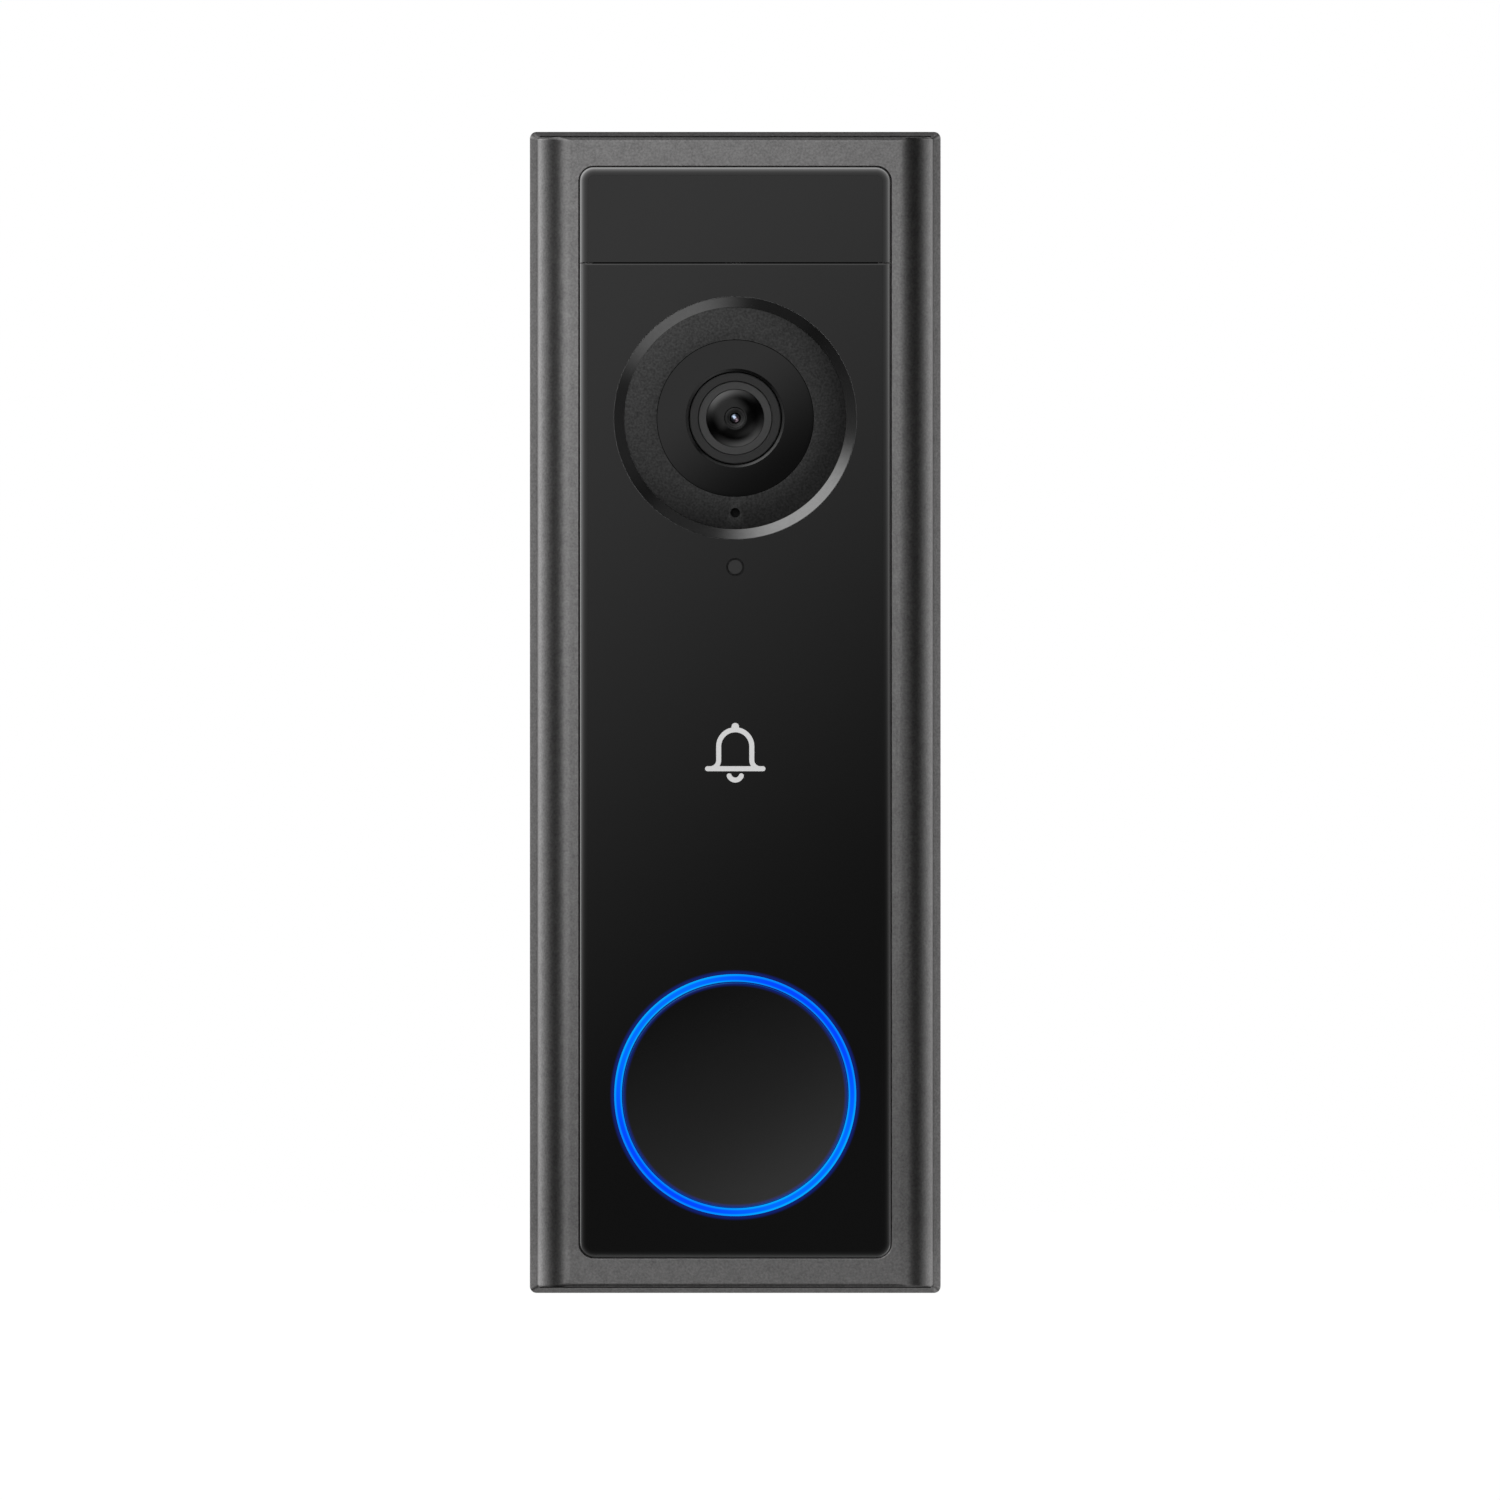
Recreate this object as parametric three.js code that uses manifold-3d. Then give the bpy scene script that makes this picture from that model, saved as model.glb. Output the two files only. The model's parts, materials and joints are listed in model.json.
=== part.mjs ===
// Video doorbell on its wall bracket, in millimetres. +Z is up, the front faces -Y, and the origin is
// the middle of the bracket's flat back, which lies on the wall at y = 0.
import * as THREE from 'three';
import { mergeVertices } from 'three/addons/utils/BufferGeometryUtils.js';
import Module from 'manifold-3d';

const wasm = await Module();
wasm.setup();

// Overall sizes
const WIDTH = 46;
const HEIGHT = 130;
const DEPTH = 25; // front face to the wall
const RIM_GAP = 0.9; // rear rim of the housing to the wall

// Housing
const OUTER_CORNER = 0.75;
const SIDE_STRIP = 0.84; // chamfered edge strip, as seen from the front
const END_STRIP = 0.65;
const SHOULDER = 3.76; // radius of the long rounded shoulders
const END_FILLET = 0.5;
const FACE_WALL = 3; // front wall, which holds the panels
const SKIRT_WALL = 1.5; // wall round the bracket
const SEAT_STEP = 0.8; // width of the ledge under the rear cover
const LEDGE = 1.5; // width of the ledge under the panels

// Panels
const PANEL_MARGIN_X = 5.65;
const PANEL_MARGIN_Z = 4.07;
const PANEL_CORNER = 1.65;
const PANEL_THICK = 1.6;
const WINDOW_HEIGHT = 10.7; // sensor window above the seam

// Camera, from the lens outwards
const CAMERA_DROP = 32.1; // lens axis below the top
const LENS_R = 3.19;
const RETAINER_WIDTH = 0.9;
const BARREL_WIDTH = 1;
const BORE_GAP = 0.48; // open groove round the barrel
const IR_WIDTH = 3.25;
const FACE_WIDTH = 3.61;
const TRIM_WIDTH = 1.13;
const FACE_DROP = 0.7; // camera face below the front
const FLANGE = 0.85; // width of the flanges behind the panel
const MIC_R = 0.54;
const MIC_INSET = 1.86; // microphone hole's centre inside the face ring's edge
const IR_LED_R = 1.45;
const DOT_R = 1; // light sensor window
const DOT_DROP = 48.75; // its centre below the top

// Bell button
const BUTTON_RISE = 22.2; // its axis above the bottom
const RING_OUT_R = 13.5;
const RING_WIDTH = 0.83;
const BUTTON_TRAVEL = 0.5;
const BUTTON_DISH = 0.55;
const RING_FLANGE = 1.3;
const LED_COUNT = 3;

// Rear cover and bracket
const COVER_THICK = 1.6;
const GASKET_THICK = 0.8;
const PLATE_THICK = 2;
const HANG_SPACE = 2.4; // bracket plate to rear cover
const PLATE_GAP = 0.8; // bracket plate to the skirt, at the sides
const PLATE_END_GAP = 1.5;
const BAR_R = 0.8; // steel bar the doorbell hangs on
const BAR_DROP = 4; // its axis below the top
const BAR_DEPTH = 2.6; // its axis in front of the wall
const BAR_LENGTH = 34;
const HOOK_WIDTH = 5;
const HOOK_SPREAD = 16; // between the two hooks' centres
const WIRE_WINDOW_WIDTH = 22;
const WIRE_WINDOW_LOW = 19; // lower and upper edges below the camera axis and the top
const WIRE_WINDOW_TOP = 8;
const WALL_SCREW_R = 2.3;
const WALL_SCREW_HEAD_R = 4.2;
const WALL_SCREW_INSET = 20;
const WALL_SCREW_TOP_X = 15.5;
const LATCH_WIDTH = 8;
const LATCH_THICK = 0.5;
const LATCH_SCREW_R = 1;
const PIN_HOLE_R = 1;

// Electronics
const BOARD_THICK = 1.2;
const BATTERY_WIDTH = 33.8;
const BATTERY_HEIGHT = 54;
const BATTERY_THICK = 9.6;
const CHASSIS_THICK = 1.2;
const USB_WIDTH = 8.94;
const USB_THICK = 3.26;
const TERMINAL_PITCH = 10.16;
const TERMINAL_WIDTH = 19;
const TERMINAL_HEIGHT = 8;
const TERMINAL_SCREW_R = 1.5;
const TERMINAL_HEAD_R = 2.6;
const TERMINAL_SLOT = 0.7; // width of the slots in the head
const WASHER_WIDTH = 5.8;
const SYNC_R = 2.2;
const SPEAKER_HEIGHT = 17;
const SPEAKER_WIDTH = 27;
const SLOT_COUNT = 5; // speaker slots in the lower wall
const SLOT_PITCH = 6;
const SLOT_LENGTH = 5;
const SLOT_WIDTH = 1.2;
const SLOT_DEPTH = 14; // their middle in front of the wall
const MOTION_R = 4; // motion sensor's can

// Fasteners
const SCREW_R = 0.9;
const SCREW_HEAD_R = 1.8;
const SCREW_HEAD = 0.9;
const BOSS_R = 2.2;
const BOSS_RIB = 2; // width of the rib from a boss to the wall
const BOSS_INSET = 2.9; // boss axis inside the cavity's wall

// Sides of the many-sided circles
const FINE = 44; // rings and holes round the camera and the button
const MEDIUM = 28;
const COARSE = 14; // screws, posts and their holes

// Clearances
const SNUG = 0.05; // glued or seated faces
const FIT = 0.12; // pieces set into a cut of their own shape
const FREE = 0.3; // pieces that move or are screwed in

// Places worked out from the sizes above
const TOP_Z = HEIGHT / 2;
const SIDE_X = WIDTH / 2;
const FRONT_Y = -DEPTH;
const PANEL_BACK_Y = FRONT_Y + PANEL_THICK;
const CAVITY_FRONT_Y = FRONT_Y + FACE_WALL;
const COVER_BACK_Y = -PLATE_THICK - HANG_SPACE;
const COVER_FRONT_Y = COVER_BACK_Y - COVER_THICK;
const SEAT_Y = COVER_FRONT_Y - GASKET_THICK - 2 * SNUG;
const SKIRT_X = SIDE_X - SKIRT_WALL;
const SKIRT_Z = TOP_Z - SKIRT_WALL;
const CAVITY_X = SKIRT_X - SEAT_STEP;
const CAVITY_Z = SKIRT_Z - SEAT_STEP;
const PANEL_X = SIDE_X - PANEL_MARGIN_X;
const PANEL_Z = TOP_Z - PANEL_MARGIN_Z;
const SEAM_Z = PANEL_Z - WINDOW_HEIGHT;
const CAMERA_Z = TOP_Z - CAMERA_DROP;
const DOT_Z = TOP_Z - DOT_DROP;
const BUTTON_Z = -TOP_Z + BUTTON_RISE;
const CHASSIS_FRONT_Y = CAVITY_FRONT_Y + 0.1;
const CHASSIS_BACK_Y = CHASSIS_FRONT_Y + CHASSIS_THICK;
const CAMERA_FACE_Y = FRONT_Y + FACE_DROP;
const CARRIER_FRONT_Y = PANEL_BACK_Y + 0.5;
const MAIN_BOARD_Y = CHASSIS_BACK_Y + 1.4; // front of the main board
const BUTTON_BOARD_Y = CHASSIS_BACK_Y + 1.1; // front of the button board
const CAMERA_BOARD_Y = CAMERA_FACE_Y + 9.65;
const REAR_BOARD_Y = CAMERA_BOARD_Y + BOARD_THICK + 0.6;
const BATTERY_Y = MAIN_BOARD_Y + BOARD_THICK + 1; // front of the battery
const BUTTON_BOARD_R = RING_OUT_R + 1.7;
const BATTERY_TOP_Z = CAMERA_Z - 15;
const BAR_Y = -BAR_DEPTH;
const BAR_Z = TOP_Z - BAR_DROP;
const PLATE_X = SKIRT_X - PLATE_GAP;
const PLATE_Z = SKIRT_Z - PLATE_END_GAP;
const BOSS_X = CAVITY_X - BOSS_INSET;
const BOSS_ROWS = [CAVITY_Z - 4.4, CAMERA_Z - 11.4, -CAVITY_Z + 4.4];
const USB_Z = CAMERA_Z + 9.5;
const SYNC_Z = CAMERA_Z + 19;
const TERMINAL_Z = CAMERA_Z - 5.5;
const LEDGE_Y = PANEL_BACK_Y + 0.1;
const RETAINER_R = LENS_R + RETAINER_WIDTH;
const BARREL_R = RETAINER_R + BARREL_WIDTH;
const BORE_R = BARREL_R + BORE_GAP;
const IR_R = BORE_R + IR_WIDTH;
const FACE_R = IR_R + FACE_WIDTH;
const TRIM_R = FACE_R + TRIM_WIDTH;
const MIC_OFFSET = FACE_R - MIC_INSET; // microphone hole below the lens axis
const HOLDER_HALF = BARREL_R + 1.1;
const CAMERA_BOARD_HALF = HOLDER_HALF + 2.4;
const IR_LED_OFFSET = (BORE_R + IR_R) / 2;
const RING_IN_R = RING_OUT_R - RING_WIDTH;
const LATCH_Y = -PLATE_THICK - 1.3;
const LATCH_SCREW_Z = -PLATE_Z + 15;
const PLUNGER_Y = BUTTON_BOARD_Y - 1.9; // front of the switch plunger
const MOTION_Z = SEAM_Z + 4.2;

// ---- Solids from three.js geometry ----

function signedVolume(points, faces) {
  let sum = 0;
  const a = new THREE.Vector3();
  const b = new THREE.Vector3();
  const c = new THREE.Vector3();
  for (let i = 0; i < faces.length; i += 3) {
    a.fromArray(points, 3 * faces[i]);
    b.fromArray(points, 3 * faces[i + 1]);
    c.fromArray(points, 3 * faces[i + 2]);
    sum += a.dot(b.cross(c));
  }
  return sum;
}

// A closed three.js geometry as a solid. The flat triangles at a lathe's poles are dropped.
function solid(geometry) {
  geometry.deleteAttribute('normal');
  geometry.deleteAttribute('uv');
  const merged = mergeVertices(geometry, 1e-5);
  const points = merged.attributes.position.array;
  const index = merged.index.array;
  const faces = [];
  for (let i = 0; i < index.length; i += 3) {
    const [a, b, c] = index.slice(i, i + 3);
    if (a !== b && b !== c && c !== a) faces.push(a, b, c);
  }
  if (signedVolume(points, faces) < 0) faces.reverse();
  const vertProperties = Float32Array.from(points);
  const triVerts = Uint32Array.from(faces);
  return new wasm.Manifold(new wasm.Mesh({ numProp: 3, vertProperties, triVerts }));
}

function arc(cx, cy, radius, from, to, steps) {
  return Array.from({ length: steps + 1 }, (_, i) => {
    const angle = from + ((to - from) * i) / steps;
    return [cx + radius * Math.cos(angle), cy + radius * Math.sin(angle)];
  });
}

function circle(radius, cx = 0, cy = 0, steps = FINE) {
  return arc(cx, cy, radius, 0, 2 * Math.PI, steps).slice(0, -1);
}

function roundedRect(halfWidth, halfHeight, radius, steps = 4) {
  const x = halfWidth - radius;
  const y = halfHeight - radius;
  const quarter = Math.PI / 2;
  return [
    ...arc(x, y, radius, 0, quarter, steps),
    ...arc(-x, y, radius, quarter, 2 * quarter, steps),
    ...arc(-x, -y, radius, 2 * quarter, 3 * quarter, steps),
    ...arc(x, -y, radius, 3 * quarter, 4 * quarter, steps),
  ];
}

const shifted = (points, dx, dy) => points.map(([x, y]) => [x + dx, y + dy]);

const X = new THREE.Vector3(1, 0, 0);
const Y = new THREE.Vector3(0, 1, 0);
const Z = new THREE.Vector3(0, 0, 1);

// An outline run along an axis from low to high. It is drawn in (y, z) along x, (x, z) along y and
// (x, y) along z.
function prism(outline, axis, low, high, holes = []) {
  const shape = new THREE.Shape(outline.map(([u, v]) => new THREE.Vector2(u, v)));
  for (const hole of holes) {
    shape.holes.push(new THREE.Path(hole.map(([u, v]) => new THREE.Vector2(u, v))));
  }
  const geometry = new THREE.ExtrudeGeometry(shape, { depth: high - low, bevelEnabled: false });
  const turn = new THREE.Matrix4();
  if (axis === 'x') turn.makeBasis(Y, Z, X);
  if (axis === 'y') turn.makeBasis(X, Z, Y.clone().negate());
  geometry.applyMatrix4(turn);
  if (axis === 'x') geometry.translate(low, 0, 0);
  if (axis === 'y') geometry.translate(0, high, 0);
  if (axis === 'z') geometry.translate(0, 0, low);
  return solid(geometry);
}

function box(x, y, z) {
  const geometry = new THREE.BoxGeometry(x[1] - x[0], y[1] - y[0], z[1] - z[0]);
  geometry.translate((x[0] + x[1]) / 2, (y[0] + y[1]) / 2, (z[0] + z[1]) / 2);
  return solid(geometry);
}

// A profile of [radius, y] points turned about the Y axis through (x, z). It closes on itself, or
// starts and ends on the axis.
function turned(profile, steps = FINE, x = 0, z = 0) {
  const onAxis = profile[0][0] === 0;
  const points = (onAxis ? profile : [...profile, profile[0]]).map(([r, y]) => new THREE.Vector2(r, y));
  const geometry = new THREE.LatheGeometry(points, steps);
  geometry.translate(x, 0, z);
  return solid(geometry);
}

const disc = (r, front, back, steps, x, z) =>
  turned([[0, front], [r, front], [r, back], [0, back]], steps, x, z);

const ring = (inner, outer, front, back, steps, x, z) =>
  turned([[inner, front], [outer, front], [outer, back], [inner, back]], steps, x, z);

const cut = (body, ...tools) => tools.reduce((left, tool) => left.subtract(tool), body);
const join = (body, ...others) => others.reduce((sum, other) => sum.add(other), body);

// A strip of even thickness along a path in (y, z), as an outline.
function strip(path, thickness) {
  const left = [];
  const right = [];
  path.forEach(([y, z], i) => {
    const [py, pz] = path[Math.max(i - 1, 0)];
    const [ny, nz] = path[Math.min(i + 1, path.length - 1)];
    const length = Math.hypot(ny - py, nz - pz);
    const dy = (-(nz - pz) / length) * (thickness / 2);
    const dz = ((ny - py) / length) * (thickness / 2);
    left.push([y + dy, z + dz]);
    right.push([y - dy, z - dz]);
  });
  return [...left, ...right.reverse()];
}

// ---- Materials ----

function material(color, roughness, metalness = 0) {
  return new THREE.MeshStandardMaterial({ color, roughness, metalness });
}

const paint = material(0x68686a, 0.45, 0.5);
const gloss = material(0x0b0b0c, 0.12);
const black = material(0x1a1a1b, 0.6);
const matte = material(0x2a2a2a, 0.75);
const trim = material(0x6a6a6c, 0.2, 0.9);
const lens = material(0x0a0c12, 0.04);
const blue = material(0x0a4bff, 0.3);
const greenBoard = material(0x0f4a2c, 0.5);
const steel = material(0xb4b6b8, 0.3, 0.9);
const brass = material(0xb8924a, 0.3, 0.9);
const rubber = material(0x151515, 0.85);
const silicone = material(0xb9bcc0, 0.6);
const chip = material(0x121214, 0.5);
const led = material(0xf1f0dc, 0.3);
const wrap = material(0x2b4f86, 0.4);

const object = new THREE.Group();

// A solid as a named mesh in a group.
function add(group, name, body, finish) {
  const { numProp, vertProperties, triVerts } = body.getMesh();
  const geometry = new THREE.BufferGeometry();
  const position = new Float32Array((vertProperties.length / numProp) * 3);
  for (let i = 0; i < position.length / 3; i += 1) {
    position.set(vertProperties.slice(i * numProp, i * numProp + 3), i * 3);
  }
  geometry.setAttribute('position', new THREE.BufferAttribute(position, 3));
  geometry.setIndex(new THREE.BufferAttribute(triVerts, 1));
  geometry.computeVertexNormals();
  const mesh = new THREE.Mesh(geometry, finish);
  mesh.name = name;
  group.add(mesh);
}

function groupAt(z) {
  const group = new THREE.Group();
  group.position.set(0, 0, z);
  object.add(group);
  return group;
}

// ---- Housing ----

// Outer section across the doorbell, in (x, y).
function sideSection() {
  const edgeX = SIDE_X - SIDE_STRIP;
  const shoulderY = FRONT_Y + SHOULDER;
  const right = [
    [SIDE_X, -RIM_GAP],
    [SIDE_X, shoulderY + SIDE_STRIP],
    ...arc(edgeX - SHOULDER, shoulderY, SHOULDER, 0, -Math.PI / 2, 8),
  ];
  const left = right.map(([x, y]) => [-x, y]).reverse();
  return [...right, ...left];
}

// Outer section along the doorbell, in (y, z).
function endSection() {
  const edgeZ = TOP_Z - END_STRIP;
  const top = [
    [-RIM_GAP, TOP_Z],
    [FRONT_Y + SHOULDER + SIDE_STRIP, TOP_Z],
    [FRONT_Y + SHOULDER, edgeZ],
    ...arc(FRONT_Y + END_FILLET, edgeZ - END_FILLET, END_FILLET, Math.PI / 2, Math.PI, 4),
  ];
  const bottom = top.map(([y, z]) => [y, -z]).reverse();
  return [...top, ...bottom];
}

function panelOutline(gap) {
  return roundedRect(PANEL_X + gap, PANEL_Z + gap, PANEL_CORNER + gap, 6);
}

function bosses() {
  const posts = [];
  for (const z of BOSS_ROWS) {
    for (const side of [-1, 1]) {
      const x = side * BOSS_X;
      const wall = side * (CAVITY_X + SEAT_STEP / 2);
      const front = CAVITY_FRONT_Y - 0.5;
      const back = SEAT_Y - 0.2;
      posts.push(disc(BOSS_R, front, back, COARSE, x, z));
      const rib = [z - BOSS_RIB / 2, z + BOSS_RIB / 2];
      posts.push(box([Math.min(x, wall), Math.max(x, wall)], [front, back], rib));
    }
  }
  return posts;
}

// One tool at each boss axis.
function atBosses(tool) {
  return BOSS_ROWS.flatMap((z) => [-1, 1].flatMap((side) => tool(side * BOSS_X, z)));
}

function bossHoles() {
  const depth = SEAT_Y - 8;
  return atBosses((x, z) => disc(SCREW_R + 0.1, depth, 0, COARSE, x, z));
}

function speakerSlots() {
  const slots = [];
  for (let i = 0; i < SLOT_COUNT; i += 1) {
    const x = (i - (SLOT_COUNT - 1) / 2) * SLOT_PITCH;
    const outline = roundedRect(SLOT_LENGTH / 2, SLOT_WIDTH / 2, SLOT_WIDTH / 2 - 0.01, 2);
    slots.push(prism(shifted(outline, x, -SLOT_DEPTH), 'z', -TOP_Z - 1, -CAVITY_Z + 1));
  }
  return slots;
}

function frontHousing() {
  const across = prism(sideSection(), 'z', -TOP_Z, TOP_Z);
  const along = prism(endSection(), 'x', -SIDE_X, SIDE_X);
  const silhouette = prism(roundedRect(SIDE_X, TOP_Z, OUTER_CORNER), 'y', FRONT_Y, -RIM_GAP);
  const blank = across.intersect(along).intersect(silhouette);
  const recess = prism(roundedRect(SKIRT_X, SKIRT_Z, 1), 'y', SEAT_Y, 0);
  const cavity = prism(roundedRect(CAVITY_X, CAVITY_Z, 1), 'y', CAVITY_FRONT_Y, 0);
  const pocket = prism(panelOutline(FIT), 'y', FRONT_Y - 1, LEDGE_Y);
  const opening = prism(panelOutline(FIT - LEDGE), 'y', FRONT_Y - 1, CAVITY_FRONT_Y + 1);
  const pinHole = prism(circle(PIN_HOLE_R, 0, LATCH_Y, COARSE), 'z', -TOP_Z - 1, -SKIRT_Z + 1);
  const latchNotch = box(
    [-LATCH_WIDTH / 2 - FREE, LATCH_WIDTH / 2 + FREE],
    [LATCH_Y - 1.3, LATCH_Y + 1.1],
    [-SKIRT_Z - 0.9, -SKIRT_Z + 1],
  );
  const shell = join(cut(blank, recess, cavity), ...bosses());
  return cut(shell, pocket, opening, ...bossHoles(), pinHole, latchNotch, ...speakerSlots());
}

// ---- Panels ----

function panelBlank() {
  return prism(panelOutline(0), 'y', FRONT_Y, PANEL_BACK_Y);
}

function frontPanel() {
  const seam = box([-WIDTH, WIDTH], [FRONT_Y - 1, 0], [SEAM_Z - FIT / 2, HEIGHT]);
  const cameraHole = prism(circle(TRIM_R + SNUG, 0, CAMERA_Z), 'y', FRONT_Y - 1, 0);
  const buttonHole = prism(circle(RING_OUT_R + SNUG, 0, BUTTON_Z), 'y', FRONT_Y - 1, 0);
  const dotHole = prism(circle(DOT_R, 0, DOT_Z, COARSE), 'y', FRONT_Y - 1, 0);
  return cut(panelBlank(), seam, cameraHole, buttonHole, dotHole);
}

function sensorWindow() {
  return cut(panelBlank(), box([-WIDTH, WIDTH], [FRONT_Y - 1, 0], [-HEIGHT, SEAM_Z + FIT / 2]));
}

// ---- Camera, about the lens axis ----

function trimRing() {
  const flangeR = TRIM_R + FLANGE;
  const seatR = FACE_R - 1;
  return turned([
    [TRIM_R - 0.1, FRONT_Y],
    [TRIM_R, FRONT_Y + 0.1],
    [TRIM_R, LEDGE_Y],
    [flangeR, LEDGE_Y],
    [flangeR, CAVITY_FRONT_Y],
    [seatR, CAVITY_FRONT_Y],
    [seatR, CARRIER_FRONT_Y - SNUG],
    [FACE_R, CARRIER_FRONT_Y - SNUG],
    [FACE_R, CAMERA_FACE_Y],
  ]);
}

function faceRing() {
  const micHole = prism(circle(MIC_R, 0, -MIC_OFFSET, COARSE), 'y', FRONT_Y, 0);
  return cut(ring(IR_R + SNUG, FACE_R - SNUG, CAMERA_FACE_Y, CARRIER_FRONT_Y - 2 * SNUG), micHole);
}

function cameraCarrier() {
  const plate = ring(BORE_R, FACE_R - 1 - FIT, CARRIER_FRONT_Y, CAVITY_FRONT_Y, MEDIUM);
  const holes = [-1, 1].map((side) => disc(IR_LED_R + FIT, FRONT_Y, 0, COARSE, side * IR_LED_OFFSET, 0));
  const micHole = prism(circle(MIC_R, 0, -MIC_OFFSET, COARSE), 'y', FRONT_Y, 0);
  return cut(plate, ...holes, micHole);
}

function irLed(side) {
  const board = CHASSIS_BACK_Y + 0.3;
  const profile = [
    [0, board],
    [IR_LED_R, board],
    ...arc(0, CARRIER_FRONT_Y + IR_LED_R, IR_LED_R, 0, -Math.PI / 2, 3),
  ];
  profile[profile.length - 1][0] = 0;
  return turned(profile, COARSE, side * IR_LED_OFFSET, 0);
}

function lensBarrel() {
  const front = CAMERA_FACE_Y + 0.3;
  const back = CAMERA_BOARD_Y - 1.9;
  const inner = LENS_R + 0.06;
  const seat = front + 0.8;
  return turned([
    [RETAINER_R + 0.03, front],
    [BARREL_R, front],
    [BARREL_R, back],
    [inner, back],
    [inner, seat],
    [RETAINER_R + 0.03, seat],
  ], MEDIUM);
}

function frontLens() {
  const edge = CAMERA_FACE_Y + 0.8;
  const rise = 0.9;
  const curve = (rise * rise + LENS_R * LENS_R) / (2 * rise);
  const centre = edge - rise + curve;
  const spread = Math.asin(LENS_R / curve);
  const dome = arc(0, centre, curve, -Math.PI / 2, -Math.PI / 2 + spread, 4);
  dome[0][0] = 0;
  return turned([...dome, [LENS_R, edge + 1], [0, edge + 1]], MEDIUM);
}

function innerLens() {
  const middle = CAMERA_FACE_Y + 4.5;
  const radius = LENS_R - 0.1;
  return turned([
    [0, middle - 1.1],
    [radius * 0.6, middle - 0.85],
    [radius, middle - 0.3],
    [radius, middle + 0.3],
    [radius * 0.6, middle + 0.85],
    [0, middle + 1.1],
  ], MEDIUM);
}

function lensHolder() {
  const half = HOLDER_HALF;
  const front = CHASSIS_BACK_Y + BOARD_THICK + 0.5;
  const back = CAMERA_BOARD_Y - SNUG;
  const pocket = back - 1.7;
  const body = box([-half, half], [front, back], [-half, half]);
  const bore = disc(BARREL_R + FIT, front - 1, pocket, MEDIUM);
  const room = box([-half + 1.4, half - 1.4], [pocket - 0.2, back + 1], [-half + 1.4, half - 1.4]);
  return cut(body, bore, room);
}

function cameraFlex() {
  const start = CAMERA_BOARD_Y + BOARD_THICK / 2;
  const end = MAIN_BOARD_Y + BOARD_THICK + 0.35;
  const top = -CAMERA_BOARD_HALF - FREE;
  const path = [
    [start, top],
    [start, top - 1.6],
    [start - 1, top - 3.1],
    [end + 1, top - 3.9],
    [end, top - 5.1],
    [end, top - 7.1],
  ];
  return prism(strip(path, 0.25), 'x', -4, 4);
}

function buildCamera() {
  const group = groupAt(CAMERA_Z);
  const retainerFront = CAMERA_FACE_Y + 0.45;
  const retainerBack = CAMERA_FACE_Y + 1.05;
  const ledBoardY = CHASSIS_BACK_Y + 0.35;
  const micY = MAIN_BOARD_Y - SNUG;
  const plateBack = CARRIER_FRONT_Y - 2 * SNUG;
  const sensorRoom = [CAMERA_BOARD_Y - 1, CAMERA_BOARD_Y - SNUG];
  const retainer = ring(LENS_R + 0.03, RETAINER_R, retainerFront, retainerBack, MEDIUM);
  const ledBoard = ring(BARREL_R + 0.8, IR_R + 0.1, ledBoardY, ledBoardY + 0.8, MEDIUM);
  const micSeal = ring(MIC_R + 0.15, 1.6, CHASSIS_BACK_Y + SNUG, micY - 0.75, COARSE, 0, -MIC_OFFSET);
  add(group, 'camera_trim_ring', trimRing(), trim);
  add(group, 'camera_face_ring', faceRing(), matte);
  add(group, 'ir_window', ring(BORE_R, IR_R - SNUG, CAMERA_FACE_Y + SNUG, plateBack), gloss);
  add(group, 'camera_carrier', cameraCarrier(), black);
  add(group, 'lens_barrel', lensBarrel(), black);
  add(group, 'lens_retainer', retainer, black);
  add(group, 'front_lens', frontLens(), lens);
  add(group, 'inner_lens', innerLens(), lens);
  add(group, 'lens_holder', lensHolder(), black);
  add(group, 'image_sensor', box([-3.6, 3.6], sensorRoom, [-2.9, 2.9]), chip);
  add(group, 'camera_board', board(CAMERA_BOARD_HALF, CAMERA_BOARD_HALF, CAMERA_BOARD_Y), greenBoard);
  add(group, 'camera_flex', cameraFlex(), brass);
  add(group, 'ir_led_left', irLed(-1), led);
  add(group, 'ir_led_right', irLed(1), led);
  add(group, 'ir_led_board', ledBoard, greenBoard);
  add(group, 'microphone_seal', micSeal, rubber);
  const micRoom = [-MIC_OFFSET - 1.4, -MIC_OFFSET + 1.4];
  add(group, 'microphone', box([-1.9, 1.9], [micY - 0.7, micY], micRoom), steel);
}

// A circuit board, front face at y.
function board(halfWidth, halfHeight, y, corner = 1) {
  return prism(roundedRect(halfWidth, halfHeight, corner, 3), 'y', y, y + BOARD_THICK);
}

// ---- Bell button, about its own axis ----

function lightRing() {
  const flangeR = RING_OUT_R + RING_FLANGE;
  return turned([
    [RING_IN_R + SNUG, FRONT_Y],
    [RING_OUT_R - SNUG, FRONT_Y],
    [RING_OUT_R - SNUG, LEDGE_Y],
    [flangeR, LEDGE_Y],
    [flangeR, CAVITY_FRONT_Y],
    [RING_IN_R + SNUG, CAVITY_FRONT_Y],
  ]);
}

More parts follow.
